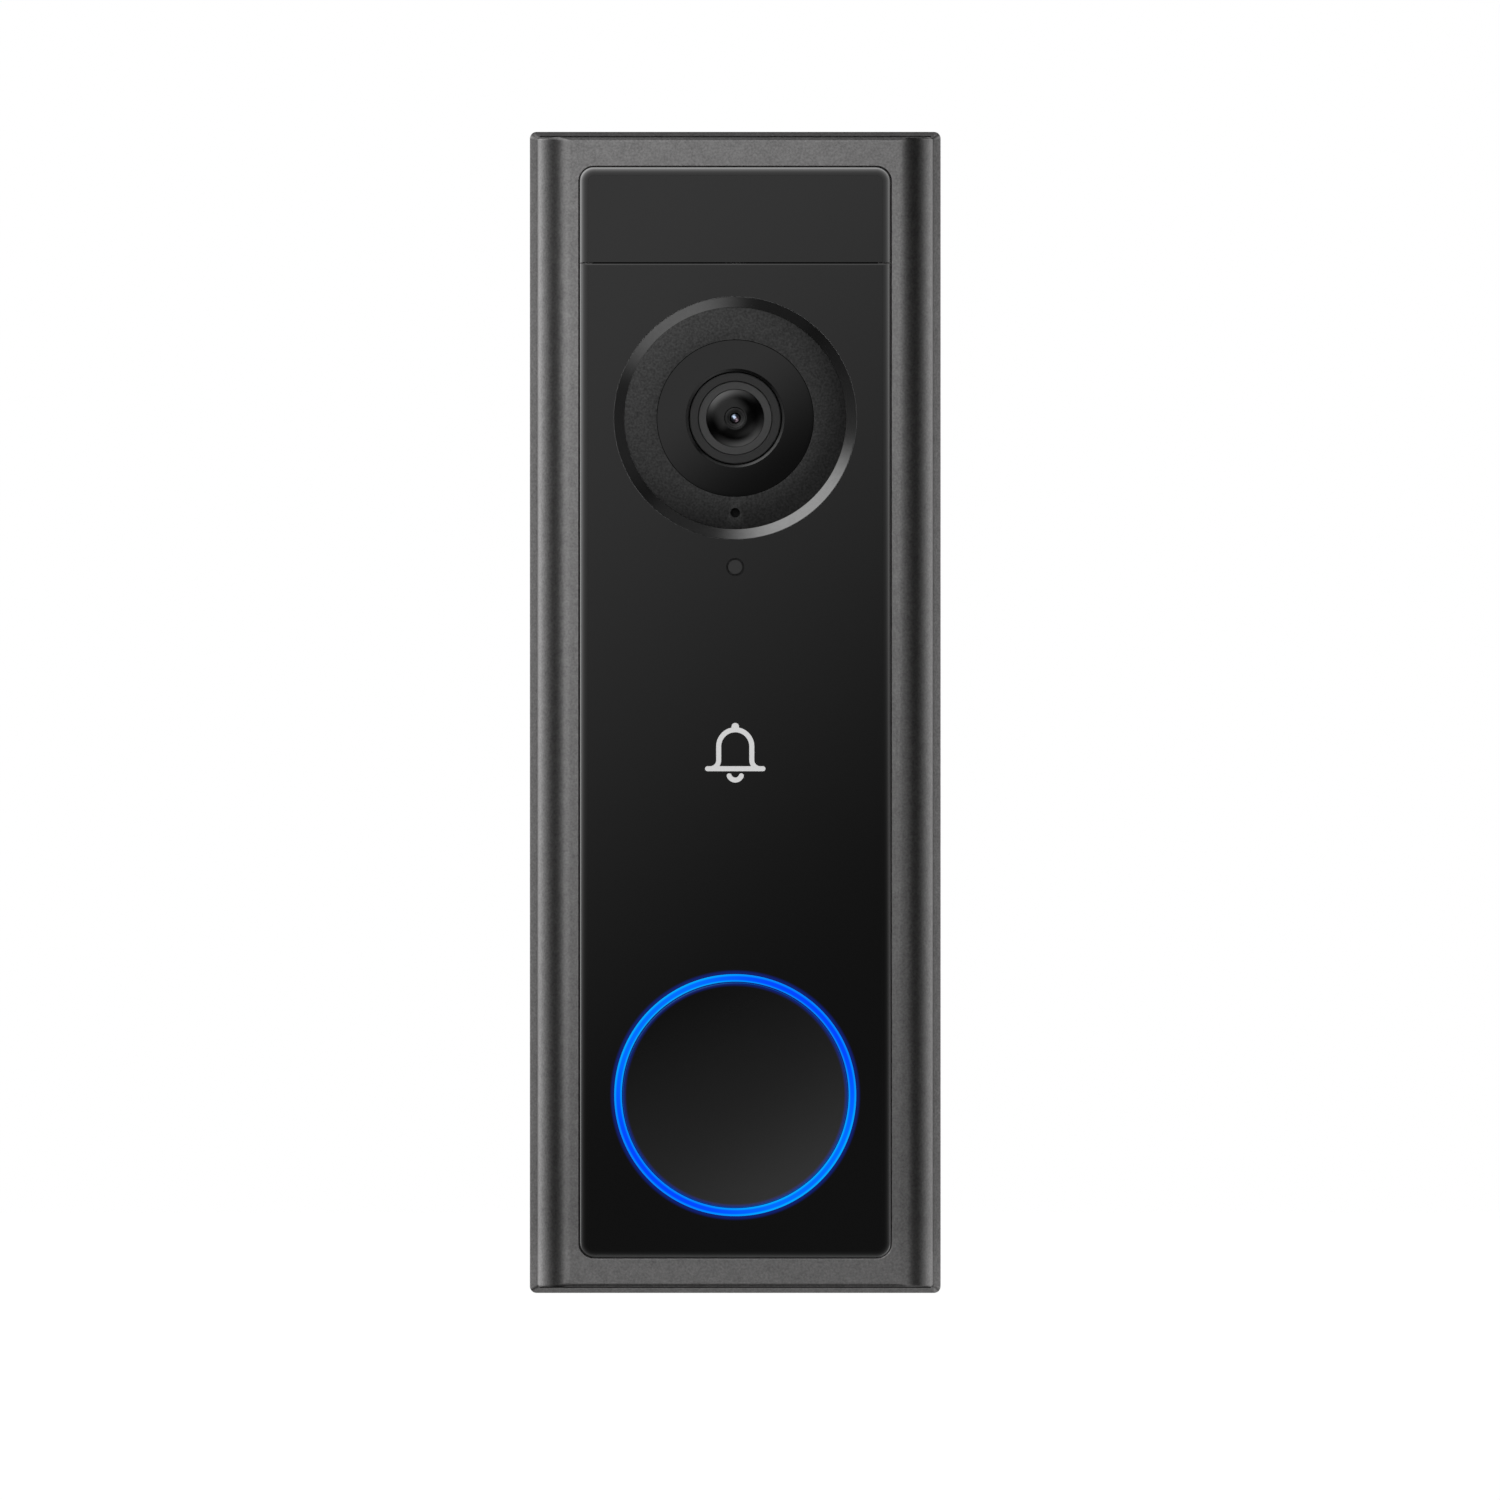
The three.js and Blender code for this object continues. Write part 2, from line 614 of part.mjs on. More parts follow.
// The cap's face is dished; a lip behind the light ring keeps it in, and a post works the switch.
function buttonCap() {
  const r = RING_IN_R - FIT * 1.5;
  const lipR = RING_IN_R + 0.6;
  const lipY = CAVITY_FRONT_Y + 0.1;
  const under = FRONT_Y + 2;
  const dishR = (r * r + BUTTON_DISH * BUTTON_DISH) / (2 * BUTTON_DISH);
  const centre = FRONT_Y + BUTTON_DISH - dishR;
  const spread = Math.asin((r - 0.5) / dishR);
  const dish = arc(0, centre, dishR, Math.PI / 2, Math.PI / 2 - spread, 4);
  dish[0][0] = 0;
  return turned([
    ...dish,
    [r - 0.25, FRONT_Y],
    [r, FRONT_Y + 0.25],
    [r, lipY],
    [lipR, lipY],
    [lipR, lipY + 0.7],
    [r - 1.2, lipY + 0.7],
    [r - 1.2, under],
    [1.8, under],
    [1.8, PLUNGER_Y - SNUG],
    [0, PLUNGER_Y - SNUG],
  ]);
}

function tactSwitch() {
  const front = BUTTON_BOARD_Y - 1.3;
  const well = disc(1.5 + FREE, front - 1, front + BUTTON_TRAVEL + 0.3, COARSE);
  return cut(box([-3, 3], [front, BUTTON_BOARD_Y - SNUG], [-3, 3]), well);
}

function buildButton() {
  const group = groupAt(BUTTON_Z);
  const plungerBack = BUTTON_BOARD_Y - 1.3 + 0.1;
  const capUnder = FRONT_Y + 2;
  add(group, 'light_ring', lightRing(), blue);
  add(group, 'button_cap', buttonCap(), gloss);
  add(group, 'switch_plunger', disc(1.5, PLUNGER_Y, plungerBack, COARSE), silicone);
  add(group, 'tact_switch', tactSwitch(), black);
  const padR = RING_IN_R - 3;
  const padFront = capUnder + SNUG;
  const padBack = BUTTON_BOARD_Y - SNUG;
  const pad = [[padR - 2.1, padFront], [padR - 1.1, padFront], [padR, padBack], [padR - 1, padBack]];
  add(group, 'button_return_pad', turned(pad, MEDIUM), silicone);
  add(group, 'button_board', disc(BUTTON_BOARD_R, BUTTON_BOARD_Y, BUTTON_BOARD_Y + 1, MEDIUM), greenBoard);
  const ledRoom = [BUTTON_BOARD_Y - 0.6, BUTTON_BOARD_Y - SNUG];
  for (let i = 0; i < LED_COUNT; i += 1) {
    const angle = ((2 * i) / LED_COUNT + 0.5) * Math.PI;
    const x = (RING_OUT_R + 0.1) * Math.cos(angle);
    const z = (RING_OUT_R + 0.1) * Math.sin(angle);
    add(group, `ring_led_${i + 1}`, box([x - 0.5, x + 0.5], ledRoom, [z - 0.5, z + 0.5]), led);
  }
}

// ---- Chassis, boards and battery ----

function innerChassis() {
  const outline = roundedRect(CAVITY_X - 2.7, CAVITY_Z - 2.2, 1.5);
  const plate = prism(outline, 'y', CHASSIS_FRONT_Y, CHASSIS_BACK_Y);
  const railIn = BATTERY_WIDTH / 2 + 0.2;
  const rails = [-1, 1].map((side) => {
    const edges = [side * railIn, side * (railIn + 0.9)].sort((a, b) => a - b);
    const low = BATTERY_TOP_Z - BATTERY_HEIGHT;
    return box(edges, [CHASSIS_FRONT_Y, COVER_FRONT_Y - 1.2], [low, BATTERY_TOP_Z]);
  });
  const clearances = atBosses((x, z) => disc(BOSS_R + FREE, FRONT_Y, 0, COARSE, x, z));
  return cut(
    join(plate, ...rails),
    ...clearances,
    disc(IR_R + 0.4, FRONT_Y, 0, MEDIUM, 0, CAMERA_Z),
    disc(MIC_R + 0.1, FRONT_Y, 0, COARSE, 0, CAMERA_Z - MIC_OFFSET),
    disc(DOT_R + 0.5, FRONT_Y, 0, COARSE, 0, DOT_Z),
    disc(RING_OUT_R + 0.6, FRONT_Y, 0, FINE, 0, BUTTON_Z),
    disc(MOTION_R + 0.4, FRONT_Y, 0, MEDIUM, 0, MOTION_Z),
  );
}

function buildInside() {
  const mainTop = CAMERA_Z - 7.2;
  const mainLow = BUTTON_Z + BUTTON_BOARD_R + 1.5;
  const mainMid = (mainTop + mainLow) / 2;
  const mainOutline = shifted(roundedRect(15.3, (mainTop - mainLow) / 2, 1, 3), 0, mainMid);
  const canBack = MAIN_BOARD_Y - SNUG;
  const batteryMid = BATTERY_Y + BATTERY_THICK / 2;
  const batteryOutline = shifted(roundedRect(BATTERY_WIDTH / 2, BATTERY_THICK / 2, 2.2), 0, batteryMid);
  const speakerLow = -CAVITY_Z + 1.3;
  const mainRoom = [MAIN_BOARD_Y, MAIN_BOARD_Y + BOARD_THICK];
  add(object, 'inner_chassis', innerChassis(), black);
  add(object, 'main_board', prism(mainOutline, 'y', ...mainRoom), greenBoard);
  add(object, 'shield_can', box([-11, 11], [canBack - 1.2, canBack], [mainMid - 14, mainMid + 8]), steel);
  add(object, 'light_sensor', box([-1.1, 1.1], [canBack - 0.7, canBack], [DOT_Z - 1.1, DOT_Z + 1.1]), chip);
  add(object, 'light_sensor_window', disc(DOT_R - 0.15, FRONT_Y, PANEL_BACK_Y, COARSE, 0, DOT_Z), lens);
  add(object, 'motion_sensor', motionSensor(), steel);
  const battery = prism(batteryOutline, 'z', BATTERY_TOP_Z - BATTERY_HEIGHT, BATTERY_TOP_Z);
  add(object, 'battery_pack', battery, wrap);
  const antenna = [CAVITY_X - 0.8, CAVITY_X - 0.5];
  const antennaLow = BOSS_ROWS[1] + BOSS_R + 3;
  add(object, 'wifi_antenna', box(antenna, [-18, -9], [antennaLow, antennaLow + 25]), brass);
  const speakerBox = prism(
    shifted(roundedRect(SPEAKER_WIDTH / 2, 3.3, 1), 0, BATTERY_Y + 3.3),
    'z',
    speakerLow,
    speakerLow + SPEAKER_HEIGHT,
  );
  add(object, 'speaker', speakerBox, black);
}

function motionSensor() {
  const front = PANEL_BACK_Y + 0.2;
  const base = front + 4.4;
  const foot = base - 0.5;
  const profile = [
    [0, front],
    [MOTION_R - 0.3, front],
    [MOTION_R, front + 0.3],
    [MOTION_R, foot],
    [MOTION_R + 0.3, foot],
    [MOTION_R + 0.3, base],
    [0, base],
  ];
  return turned(profile, MEDIUM, 0, MOTION_Z);
}

// ---- Rear cover and what it carries ----

// A hook that closes over the hang bar, open downwards, as an outline in (y, z) about the bar's axis.
function hookOutline() {
  const inner = BAR_R + 0.15;
  const outer = inner + 0.75;
  const start = COVER_BACK_Y - BAR_Y - 0.2;
  return [
    [start, outer],
    ...arc(0, 0, outer, Math.PI / 2, 0, 5),
    [outer, -0.4],
    [inner, -0.4],
    ...arc(0, 0, inner, 0, Math.PI, 6),
    [start, 0],
  ];
}

function rearCover() {
  const plate = prism(roundedRect(SKIRT_X - FIT, SKIRT_Z - FIT, 0.9), 'y', COVER_FRONT_Y, COVER_BACK_Y);
  const hooks = [-1, 1].map((side) => {
    const x = (side * HOOK_SPREAD) / 2;
    const outline = shifted(hookOutline(), BAR_Y, BAR_Z);
    return prism(outline, 'x', x - HOOK_WIDTH / 2, x + HOOK_WIDTH / 2);
  });
  const screwHoles = atBosses((x, z) => [
    disc(SCREW_R + FREE, COVER_FRONT_Y - 1, 0, COARSE, x, z),
    disc(SCREW_HEAD_R + FREE, COVER_BACK_Y - SCREW_HEAD - 0.1, 0, COARSE, x, z),
  ]);
  const usbHole = prism(
    shifted(roundedRect(USB_WIDTH / 2 + FREE, USB_THICK / 2 + FREE, 1.5), 0, USB_Z),
    'y',
    COVER_FRONT_Y - 1,
    0,
  );
  const usbRecess = prism(
    shifted(roundedRect(USB_WIDTH / 2 + 1.1, USB_THICK / 2 + 1.1, 1.6), 0, USB_Z),
    'y',
    COVER_BACK_Y - 0.8,
    0,
  );
  const terminalHole = box(
    [-TERMINAL_WIDTH / 2 - FREE, TERMINAL_WIDTH / 2 + FREE],
    [COVER_FRONT_Y - 1, 0],
    [TERMINAL_Z - TERMINAL_HEIGHT / 2 - FREE, TERMINAL_Z + TERMINAL_HEIGHT / 2 + FREE],
  );
  const syncHole = disc(SYNC_R + FREE, COVER_FRONT_Y - 1, 0, MEDIUM, 0, SYNC_Z);
  return cut(join(plate, ...hooks), ...screwHoles, usbHole, usbRecess, terminalHole, syncHole);
}

function coverScrew(x, z) {
  const head = COVER_BACK_Y - 0.1;
  const seat = head - SCREW_HEAD;
  const drive = prism(circle(0.8, x, z, 6), 'y', head - 0.5, 0);
  const shank = disc(SCREW_R, seat - 6, seat + 0.2, COARSE, x, z);
  return cut(join(disc(SCREW_HEAD_R, seat, head, COARSE, x, z), shank), drive);
}

function usbPort() {
  const back = REAR_BOARD_Y + BOARD_THICK + SNUG;
  const mouth = COVER_BACK_Y - 0.85;
  const shell = prism(roundedRect(USB_WIDTH / 2, USB_THICK / 2, 1.45), 'y', back, mouth);
  const room = prism(roundedRect(USB_WIDTH / 2 - 0.3, USB_THICK / 2 - 0.35, 1.1), 'y', back + 1.2, 0);
  const tongue = box([-3.3, 3.3], [back + 0.6, mouth - 0.4], [-0.35, 0.35]);
  return join(cut(shell, room), tongue);
}

// Rubber cover of the port, with the strap that it swings on at its +X end.
function usbCover() {
  const front = COVER_BACK_Y + 0.1;
  const grown = (extra, corner) => roundedRect(USB_WIDTH / 2 + extra, USB_THICK / 2 + extra, corner);
  const lid = prism(grown(1.9, 2), 'y', front, front + 1);
  const plug = prism(grown(0.5, 1.2), 'y', front - 0.6, front + 0.1);
  const tab = box([USB_WIDTH / 2 + 1.5, USB_WIDTH / 2 + 3.3], [front, front + 0.8], [-1.2, 1.2]);
  return join(lid, plug, tab);
}

function terminalBlock() {
  const front = REAR_BOARD_Y + BOARD_THICK + SNUG;
  const back = COVER_BACK_Y - 0.55;
  const half = TERMINAL_HEIGHT / 2;
  const body = box([-TERMINAL_WIDTH / 2, TERMINAL_WIDTH / 2], [front, back], [-half, half]);
  const wells = [-1, 1].map((side) => {
    const x = (side * TERMINAL_PITCH) / 2;
    return disc(TERMINAL_SCREW_R + FREE, back - 5.5, 0, COARSE, x, 0);
  });
  return cut(body, ...wells);
}

function terminalWasher(side) {
  const x = (side * TERMINAL_PITCH) / 2;
  const front = COVER_BACK_Y - 0.5;
  const half = WASHER_WIDTH / 2;
  const plate = box([x - half, x + half], [front, front + 0.8], [-half, half]);
  return cut(plate, disc(TERMINAL_SCREW_R + FREE, front - 1, 0, COARSE, x, 0));
}

function terminalScrew(side) {
  const x = (side * TERMINAL_PITCH) / 2;
  const seat = COVER_BACK_Y + 0.35;
  const head = disc(TERMINAL_HEAD_R, seat, seat + 1.2, MEDIUM, x, 0);
  const half = TERMINAL_SLOT / 2;
  const slot = box([x - 3, x + 3], [seat + 0.7, seat + 2], [-half, half]);
  const cross = box([x - half, x + half], [seat + 0.7, seat + 2], [-1.6, 1.6]);
  return cut(join(head, disc(TERMINAL_SCREW_R, seat - 5, seat + 0.2, COARSE, x, 0)), slot, cross);
}

function syncButton() {
  const cap = COVER_BACK_Y - 0.1;
  const flange = COVER_FRONT_Y - SNUG;
  const stem = REAR_BOARD_Y + BOARD_THICK + 2.6;
  return turned([
    [0, cap],
    [SYNC_R - 0.3, cap],
    [SYNC_R, cap - 0.3],
    [SYNC_R, flange],
    [SYNC_R + 0.8, flange],
    [SYNC_R + 0.8, flange - 0.7],
    [1, flange - 0.7],
    [1, stem],
    [0, stem],
  ], MEDIUM);
}

function buildRear() {
  add(object, 'rear_cover', rearCover(), black);
  const outer = roundedRect(SKIRT_X - 0.15, SKIRT_Z - 0.15, 0.9);
  const inner = roundedRect(CAVITY_X + 0.08, CAVITY_Z + 0.08, 0.9);
  const gasket = prism(outer, 'y', SEAT_Y + SNUG, SEAT_Y + SNUG + GASKET_THICK, [inner]);
  add(object, 'housing_gasket', gasket, rubber);
  BOSS_ROWS.forEach((z, row) => {
    add(object, `cover_screw_${2 * row + 1}`, coverScrew(-BOSS_X, z), steel);
    add(object, `cover_screw_${2 * row + 2}`, coverScrew(BOSS_X, z), steel);
  });
  const boardLow = TERMINAL_Z - TERMINAL_HEIGHT / 2 - 1;
  const boardTop = SYNC_Z + 4;
  const boardMid = (boardTop + boardLow) / 2;
  const outline = shifted(roundedRect(13.5, (boardTop - boardLow) / 2, 1, 3), 0, boardMid);
  add(object, 'rear_board', prism(outline, 'y', REAR_BOARD_Y, REAR_BOARD_Y + BOARD_THICK), greenBoard);

  const usb = groupAt(USB_Z);
  add(usb, 'usb_port', usbPort(), steel);
  add(usb, 'usb_cover', usbCover(), rubber);

  const terminals = groupAt(TERMINAL_Z);
  add(terminals, 'terminal_block', terminalBlock(), black);
  add(terminals, 'terminal_washer_left', terminalWasher(-1), brass);
  add(terminals, 'terminal_washer_right', terminalWasher(1), brass);
  add(terminals, 'terminal_screw_left', terminalScrew(-1), steel);
  add(terminals, 'terminal_screw_right', terminalScrew(1), steel);

  const sync = groupAt(SYNC_Z);
  const switchFront = REAR_BOARD_Y + BOARD_THICK + SNUG;
  add(sync, 'sync_button', syncButton(), rubber);
  add(sync, 'sync_switch', box([-2.2, 2.2], [switchFront, switchFront + 2], [-2.2, 2.2]), chip);
}

// ---- Wall bracket ----

function bracketEar(side) {
  const x = (side * BAR_LENGTH) / 2;
  const edges = [x - side * 2.2, x + side * 0.6].sort((a, b) => a - b);
  const r = BAR_R + 0.6;
  const outline = [
    [-0.2, BAR_Z - 2.4],
    [BAR_Y - 1.1, BAR_Z - 2.4],
    ...arc(BAR_Y, BAR_Z, r, Math.PI, Math.PI / 2, 5),
    [-0.2, BAR_Z + r],
  ];
  const hole = [x - side * 3, x].sort((a, b) => a - b);
  const blindHole = prism(circle(BAR_R + FIT, BAR_Y, BAR_Z, COARSE), 'x', ...hole);
  return cut(prism(outline, 'x', ...edges), blindHole);
}

function wallBracket() {
  const plate = prism(roundedRect(PLATE_X, PLATE_Z, 2.5, 5), 'y', -PLATE_THICK, 0);
  const notchHalf = BAR_LENGTH / 2 - 2.2;
  const notch = box([-notchHalf, notchHalf], [-DEPTH, 1], [BAR_Z - 2.4, TOP_Z + 1]);
  const barCircle = circle(BAR_R + FIT, BAR_Y, BAR_Z, COARSE);
  const barRoom = prism(barCircle, 'x', -BAR_LENGTH / 2, BAR_LENGTH / 2);
  const windowLow = CAMERA_Z - WIRE_WINDOW_LOW;
  const windowTop = TOP_Z - WIRE_WINDOW_TOP;
  const middle = (windowLow + windowTop) / 2;
  const windowOutline = shifted(
    roundedRect(WIRE_WINDOW_WIDTH / 2, (windowTop - windowLow) / 2, 2),
    0,
    middle,
  );
  const wireWindow = prism(windowOutline, 'y', -DEPTH, 1);
  const screwHoles = [
    [-WALL_SCREW_TOP_X, TOP_Z - WALL_SCREW_INSET],
    [WALL_SCREW_TOP_X, TOP_Z - WALL_SCREW_INSET],
    [0, -TOP_Z + WALL_SCREW_INSET + 12],
  ].map(([x, z]) => turned([
    [0, -DEPTH],
    [WALL_SCREW_HEAD_R, -DEPTH],
    [WALL_SCREW_HEAD_R, -PLATE_THICK],
    [WALL_SCREW_R, -0.5],
    [WALL_SCREW_R, 1],
    [0, 1],
  ], MEDIUM, x, z));
  const ribs = [-1, 1].map((side) => {
    const edges = [side * (PLATE_X - 1.6), side * (PLATE_X - 2.8)].sort((a, b) => a - b);
    return box(edges, [-PLATE_THICK - 0.9, -1], [-PLATE_Z + 4, TOP_Z - WALL_SCREW_INSET - 8]);
  });
  const latchHole = disc(LATCH_SCREW_R + FIT, -PLATE_THICK - 1, -0.6, COARSE, 0, LATCH_SCREW_Z);
  const body = join(cut(join(plate, ...ribs), notch), bracketEar(-1), bracketEar(1));
  return cut(body, barRoom, wireWindow, ...screwHoles, latchHole);
}

// A leaf that lies on the plate, lifts off it, and ends in a tooth in the housing's lower wall.
function latchSpring() {
  const base = -PLATE_THICK - SNUG - LATCH_THICK / 2;
  const tip = LATCH_Y;
  const path = [
    [base, LATCH_SCREW_Z + 4],
    [base, LATCH_SCREW_Z - 4],
    [tip + 0.4, LATCH_SCREW_Z - 8],
    [tip + 0.4, -PLATE_Z + 1],
    [tip + 0.2, -SKIRT_Z - 0.1],
    [tip - 0.6, -SKIRT_Z - 0.4],
    [tip - 0.8, -SKIRT_Z + 1.4],
  ];
  const leaf = prism(strip(path, LATCH_THICK), 'x', -LATCH_WIDTH / 2, LATCH_WIDTH / 2);
  return cut(leaf, disc(LATCH_SCREW_R + FIT, -DEPTH, 0, COARSE, 0, LATCH_SCREW_Z));
}

function latchScrew() {
  const seat = -PLATE_THICK - 2 * SNUG - LATCH_THICK;
  const headR = 1.9;
  const profile = [
    [0, seat - 0.8],
    [headR - 0.4, seat - 0.7],
    [headR, seat - 0.3],
    [headR, seat],
    [LATCH_SCREW_R, seat],
    [LATCH_SCREW_R, -0.8],
    [0, -0.8],
  ];
  return turned(profile, COARSE, 0, LATCH_SCREW_Z);
}

function buildBracket() {
  add(object, 'wall_bracket', wallBracket(), black);
  const bar = prism(circle(BAR_R, BAR_Y, BAR_Z, COARSE), 'x', -BAR_LENGTH / 2 + 0.1, BAR_LENGTH / 2 - 0.1);
  add(object, 'hang_bar', bar, steel);
  add(object, 'latch_spring', latchSpring(), steel);
  add(object, 'latch_screw', latchScrew(), steel);
}

add(object, 'front_housing', frontHousing(), paint);
add(object, 'front_panel', frontPanel(), gloss);
add(object, 'sensor_window', sensorWindow(), gloss);
buildCamera();
buildButton();
buildInside();
buildRear();
buildBracket();

export default object;
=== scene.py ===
# The looks of a video doorbell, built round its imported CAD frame. Shapes are worked out in millimetres
# in the part's frame (+X right, +Y into the wall, +Z up) and written to the meshes in metres.
import json
import math

import bmesh
import bpy
from mathutils import Matrix, Vector


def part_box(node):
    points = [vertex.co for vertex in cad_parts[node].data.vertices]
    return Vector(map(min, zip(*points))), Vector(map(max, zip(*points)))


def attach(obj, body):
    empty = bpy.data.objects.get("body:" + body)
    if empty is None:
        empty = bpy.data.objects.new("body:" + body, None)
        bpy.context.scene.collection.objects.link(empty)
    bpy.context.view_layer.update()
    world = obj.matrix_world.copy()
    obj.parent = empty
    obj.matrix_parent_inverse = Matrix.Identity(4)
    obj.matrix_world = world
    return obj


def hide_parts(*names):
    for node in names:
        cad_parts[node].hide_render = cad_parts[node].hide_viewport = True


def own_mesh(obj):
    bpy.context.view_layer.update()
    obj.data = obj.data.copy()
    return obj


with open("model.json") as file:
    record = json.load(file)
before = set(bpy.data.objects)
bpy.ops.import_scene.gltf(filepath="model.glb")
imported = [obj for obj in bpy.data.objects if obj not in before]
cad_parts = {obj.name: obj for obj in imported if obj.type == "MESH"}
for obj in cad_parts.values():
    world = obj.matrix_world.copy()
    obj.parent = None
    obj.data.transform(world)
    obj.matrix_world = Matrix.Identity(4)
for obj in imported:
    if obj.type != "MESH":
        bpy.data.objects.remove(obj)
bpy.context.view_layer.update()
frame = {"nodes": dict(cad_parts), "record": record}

MM = 0.001


def box(node):
    """Lowest and highest corner of a CAD node, in millimetres."""
    low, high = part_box(node)
    return Vector(low) / MM, Vector(high) / MM


def centre(node):
    low, high = box(node)
    return (low + high) / 2


def radius(node):
    low, high = box(node)
    return (high.x - low.x) / 2


# ---- Sizes, from the frame ----

HOUSING_LOW, HOUSING_HIGH = box("front_housing")
SIDE_X = HOUSING_HIGH.x
TOP_Z = HOUSING_HIGH.z
FRONT = HOUSING_LOW.y
RIM = HOUSING_HIGH.y
PANEL_X = box("sensor_window")[1].x + 0.06
PANEL_Z = box("sensor_window")[1].z + 0.05
PANEL_BACK = box("sensor_window")[1].y
SEAM_Z = (box("sensor_window")[0].z + box("front_panel")[1].z) / 2
CAMERA_Z = centre("camera_trim_ring").z
BUTTON_Z = centre("button_cap").z
DOT_Z = centre("light_sensor_window").z
FACE_Y = box("camera_face_ring")[0].y
FACE_R = radius("camera_face_ring")
IR_R = radius("ir_window")
BARREL_R = radius("lens_barrel")
RETAINER_R = radius("lens_retainer")
LENS_R = radius("front_lens")

# ---- Sizes of the visible detail ----

SIDE_STRIP = 0.84
END_STRIP = 0.65
SHOULDER = 3.76
END_FILLET = 0.5
CORNER = 0.75
INNER_CORNER = 0.35
SKIRT_WALL = 1.5
SEAT_STEP = 0.8
SEAT_Y = -6.9
CAVITY_FRONT = -22.0
GROOVE_X = 21.9
GROOVE_TOP = (TOP_Z - END_STRIP + 0.02, TOP_Z - END_STRIP + 0.24)
GROOVE_END = (-TOP_Z + END_STRIP - 0.12, -TOP_Z + END_STRIP + 0.12)
GROOVE_DEEP = 7.5
LEDGE = 1.5
LATCH_Y = -3.3
GAP = 0.06
PANEL_CORNER = 1.65
PANEL_ROUND = 0.22
PANEL_DROP = 0.06
SEAM_GAP = 0.08
# Tone of the painted highlight along the panel's rim.
RIM_HIGHLIGHT_TONE = 0.4
PRINT = 0.02
TRIM_R = 13.56
RING_OUT_R = 13.5
RING_IN_R = 12.67
BORE_R = 5.57
RING_MIDDLE = (RING_OUT_R + RING_IN_R) / 2
RING_HALF = (RING_OUT_R - RING_IN_R) / 2
DISH = 0.35
MIC_R = 0.54
DOT_R = 1.0
MARK_Z = -4.4
SPEAKER_PITCH = 6
SPEAKER_Y = -14

# ---- Sizes of the back's detail ----

EDGE = 0.12
HOOK_X = 8
HOOK_INNER_R = 0.95
HOOK_OUTER_R = 1.7
HOOK_HALF = 2.5
COVER_THICK = 1.6
USB_HOLE = (4.77, 1.93, 1.5)
USB_RECESS = (5.57, 2.73, 1.6)
USB_RECESS_DEEP = 0.8
SYNC_HOLE_R = 2.5
SYNC_CAP_R = 2.2
CLAMP_HOLE_R = 1.8
CLAMP_SHANK_R = 1.5
CLAMP_PITCH = 0.4
CLAMP_TURNS = 11
CLAMP_SLOT_DEEP = 0.6
LID_ROUND = 0.4
BRACKET_THICK = 2.0
WIRE_WINDOW_LOW = 13.9
WIRE_WINDOW_TOP = 57.0
WIRE_WINDOW_HALF = 11
EAR_X = (14.8, 17.6)
EAR_R = 1.4
RIB_X = 18.5
WALL_SCREWS = ((-15.5, 45), (15.5, 45), (0, -33))
# Place and half sizes of each pocket on one side.
WALL_POCKETS = ((9.9, -49.3, 8.2, 8.6), (9.9, -7.5, 8.2, 16.6), (15.9, 26.5, 3.0, 10.0))

# ---- Values of the looks ----

PAINT_TINT = (1, 0.985, 0.985)
# How much painted light lifts the paint on the side strips and the lower end.
PAINTED_LIGHT_LIFT = 1.22
LIGHT_X = -0.39  # direction of the photo's light over the face
LIGHT_Z = 0.92


# ---- Mesh building ----

def arc(cx, cy, r, start, end, steps):
    """Points on an arc, with its angles in degrees."""
    angles = [math.radians(start + (end - start) * i / steps) for i in range(steps + 1)]
    return [(cx + r * math.cos(a), cy + r * math.sin(a)) for a in angles]


def circle(r, cx=0.0, cz=0.0, steps=96):
    return arc(cx, cz, r, 0, 360, steps)[:-1]


def rounded_rect(half_x, half_z, r, steps=8):
    x, z = half_x - r, half_z - r
    points = []
    for start, cx, cz in ((0, x, z), (90, -x, z), (180, -x, -z), (270, x, -z)):
        points += arc(cx, cz, r, start, start + 90, steps)
    return points


def shifted(points, dx, dz):
    return [(x + dx, z + dz) for x, z in points]


def linked(name, data):
    """A new object in the scene."""
    obj = bpy.data.objects.new(name, data)
    bpy.context.scene.collection.objects.link(obj)
    return obj


def shade(mesh, smooth):
    """Smooth shading, with edges over an angle kept sharp."""
    mesh.shade_smooth()
    mesh.set_sharp_from_angle(angle=math.radians(smooth))


def mesh_object(name, bm):
    """A named object from a bmesh, which is used up."""
    mesh = bpy.data.meshes.new(name)
    bm.to_mesh(mesh)
    bm.free()
    return linked(name, mesh)


def to_object(name, bm, smooth=32):
    """A named object from a bmesh in millimetres, with outward faces, smooth up to an angle."""
    bmesh.ops.remove_doubles(bm, verts=bm.verts, dist=1e-5)
    bmesh.ops.dissolve_degenerate(bm, edges=bm.edges, dist=1e-6)
    bmesh.ops.recalc_face_normals(bm, faces=bm.faces)
    bmesh.ops.scale(bm, vec=(MM, MM, MM), verts=bm.verts)
    obj = mesh_object(name, bm)
    shade(obj.data, smooth)
    return obj


def moved(obj, x, z):
    """The object with its mesh moved, in millimetres."""
    obj.data.transform(Matrix.Translation((x * MM, 0, z * MM)))
    return obj


def rings_mesh(rings, closed):
    """Faces between rings of the same number of points; the end rings are filled unless it closes."""
    bm = bmesh.new()
    made = [[bm.verts.new(p) for p in ring] for ring in rings]
    pairs = list(zip(made, made[1:]))
    if closed:
        pairs.append((made[-1], made[0]))
    for a, b in pairs:
        count = len(a)
        for i in range(count):
            j = (i + 1) % count
            bm.faces.new((a[i], a[j], b[j], b[i]))
    if not closed:
        bm.faces.new(made[0])
        bm.faces.new(made[-1])
    return bm


def loft(name, loops, closed=False, smooth=32):
    """A body through rounded rectangles, each (half width, half height, corner radius, y)."""
    rings = [[(x, y, z) for x, z in rounded_rect(hx, hz, max(r, 0.02))] for hx, hz, r, y in loops]
    return to_object(name, rings_mesh(rings, closed), smooth)


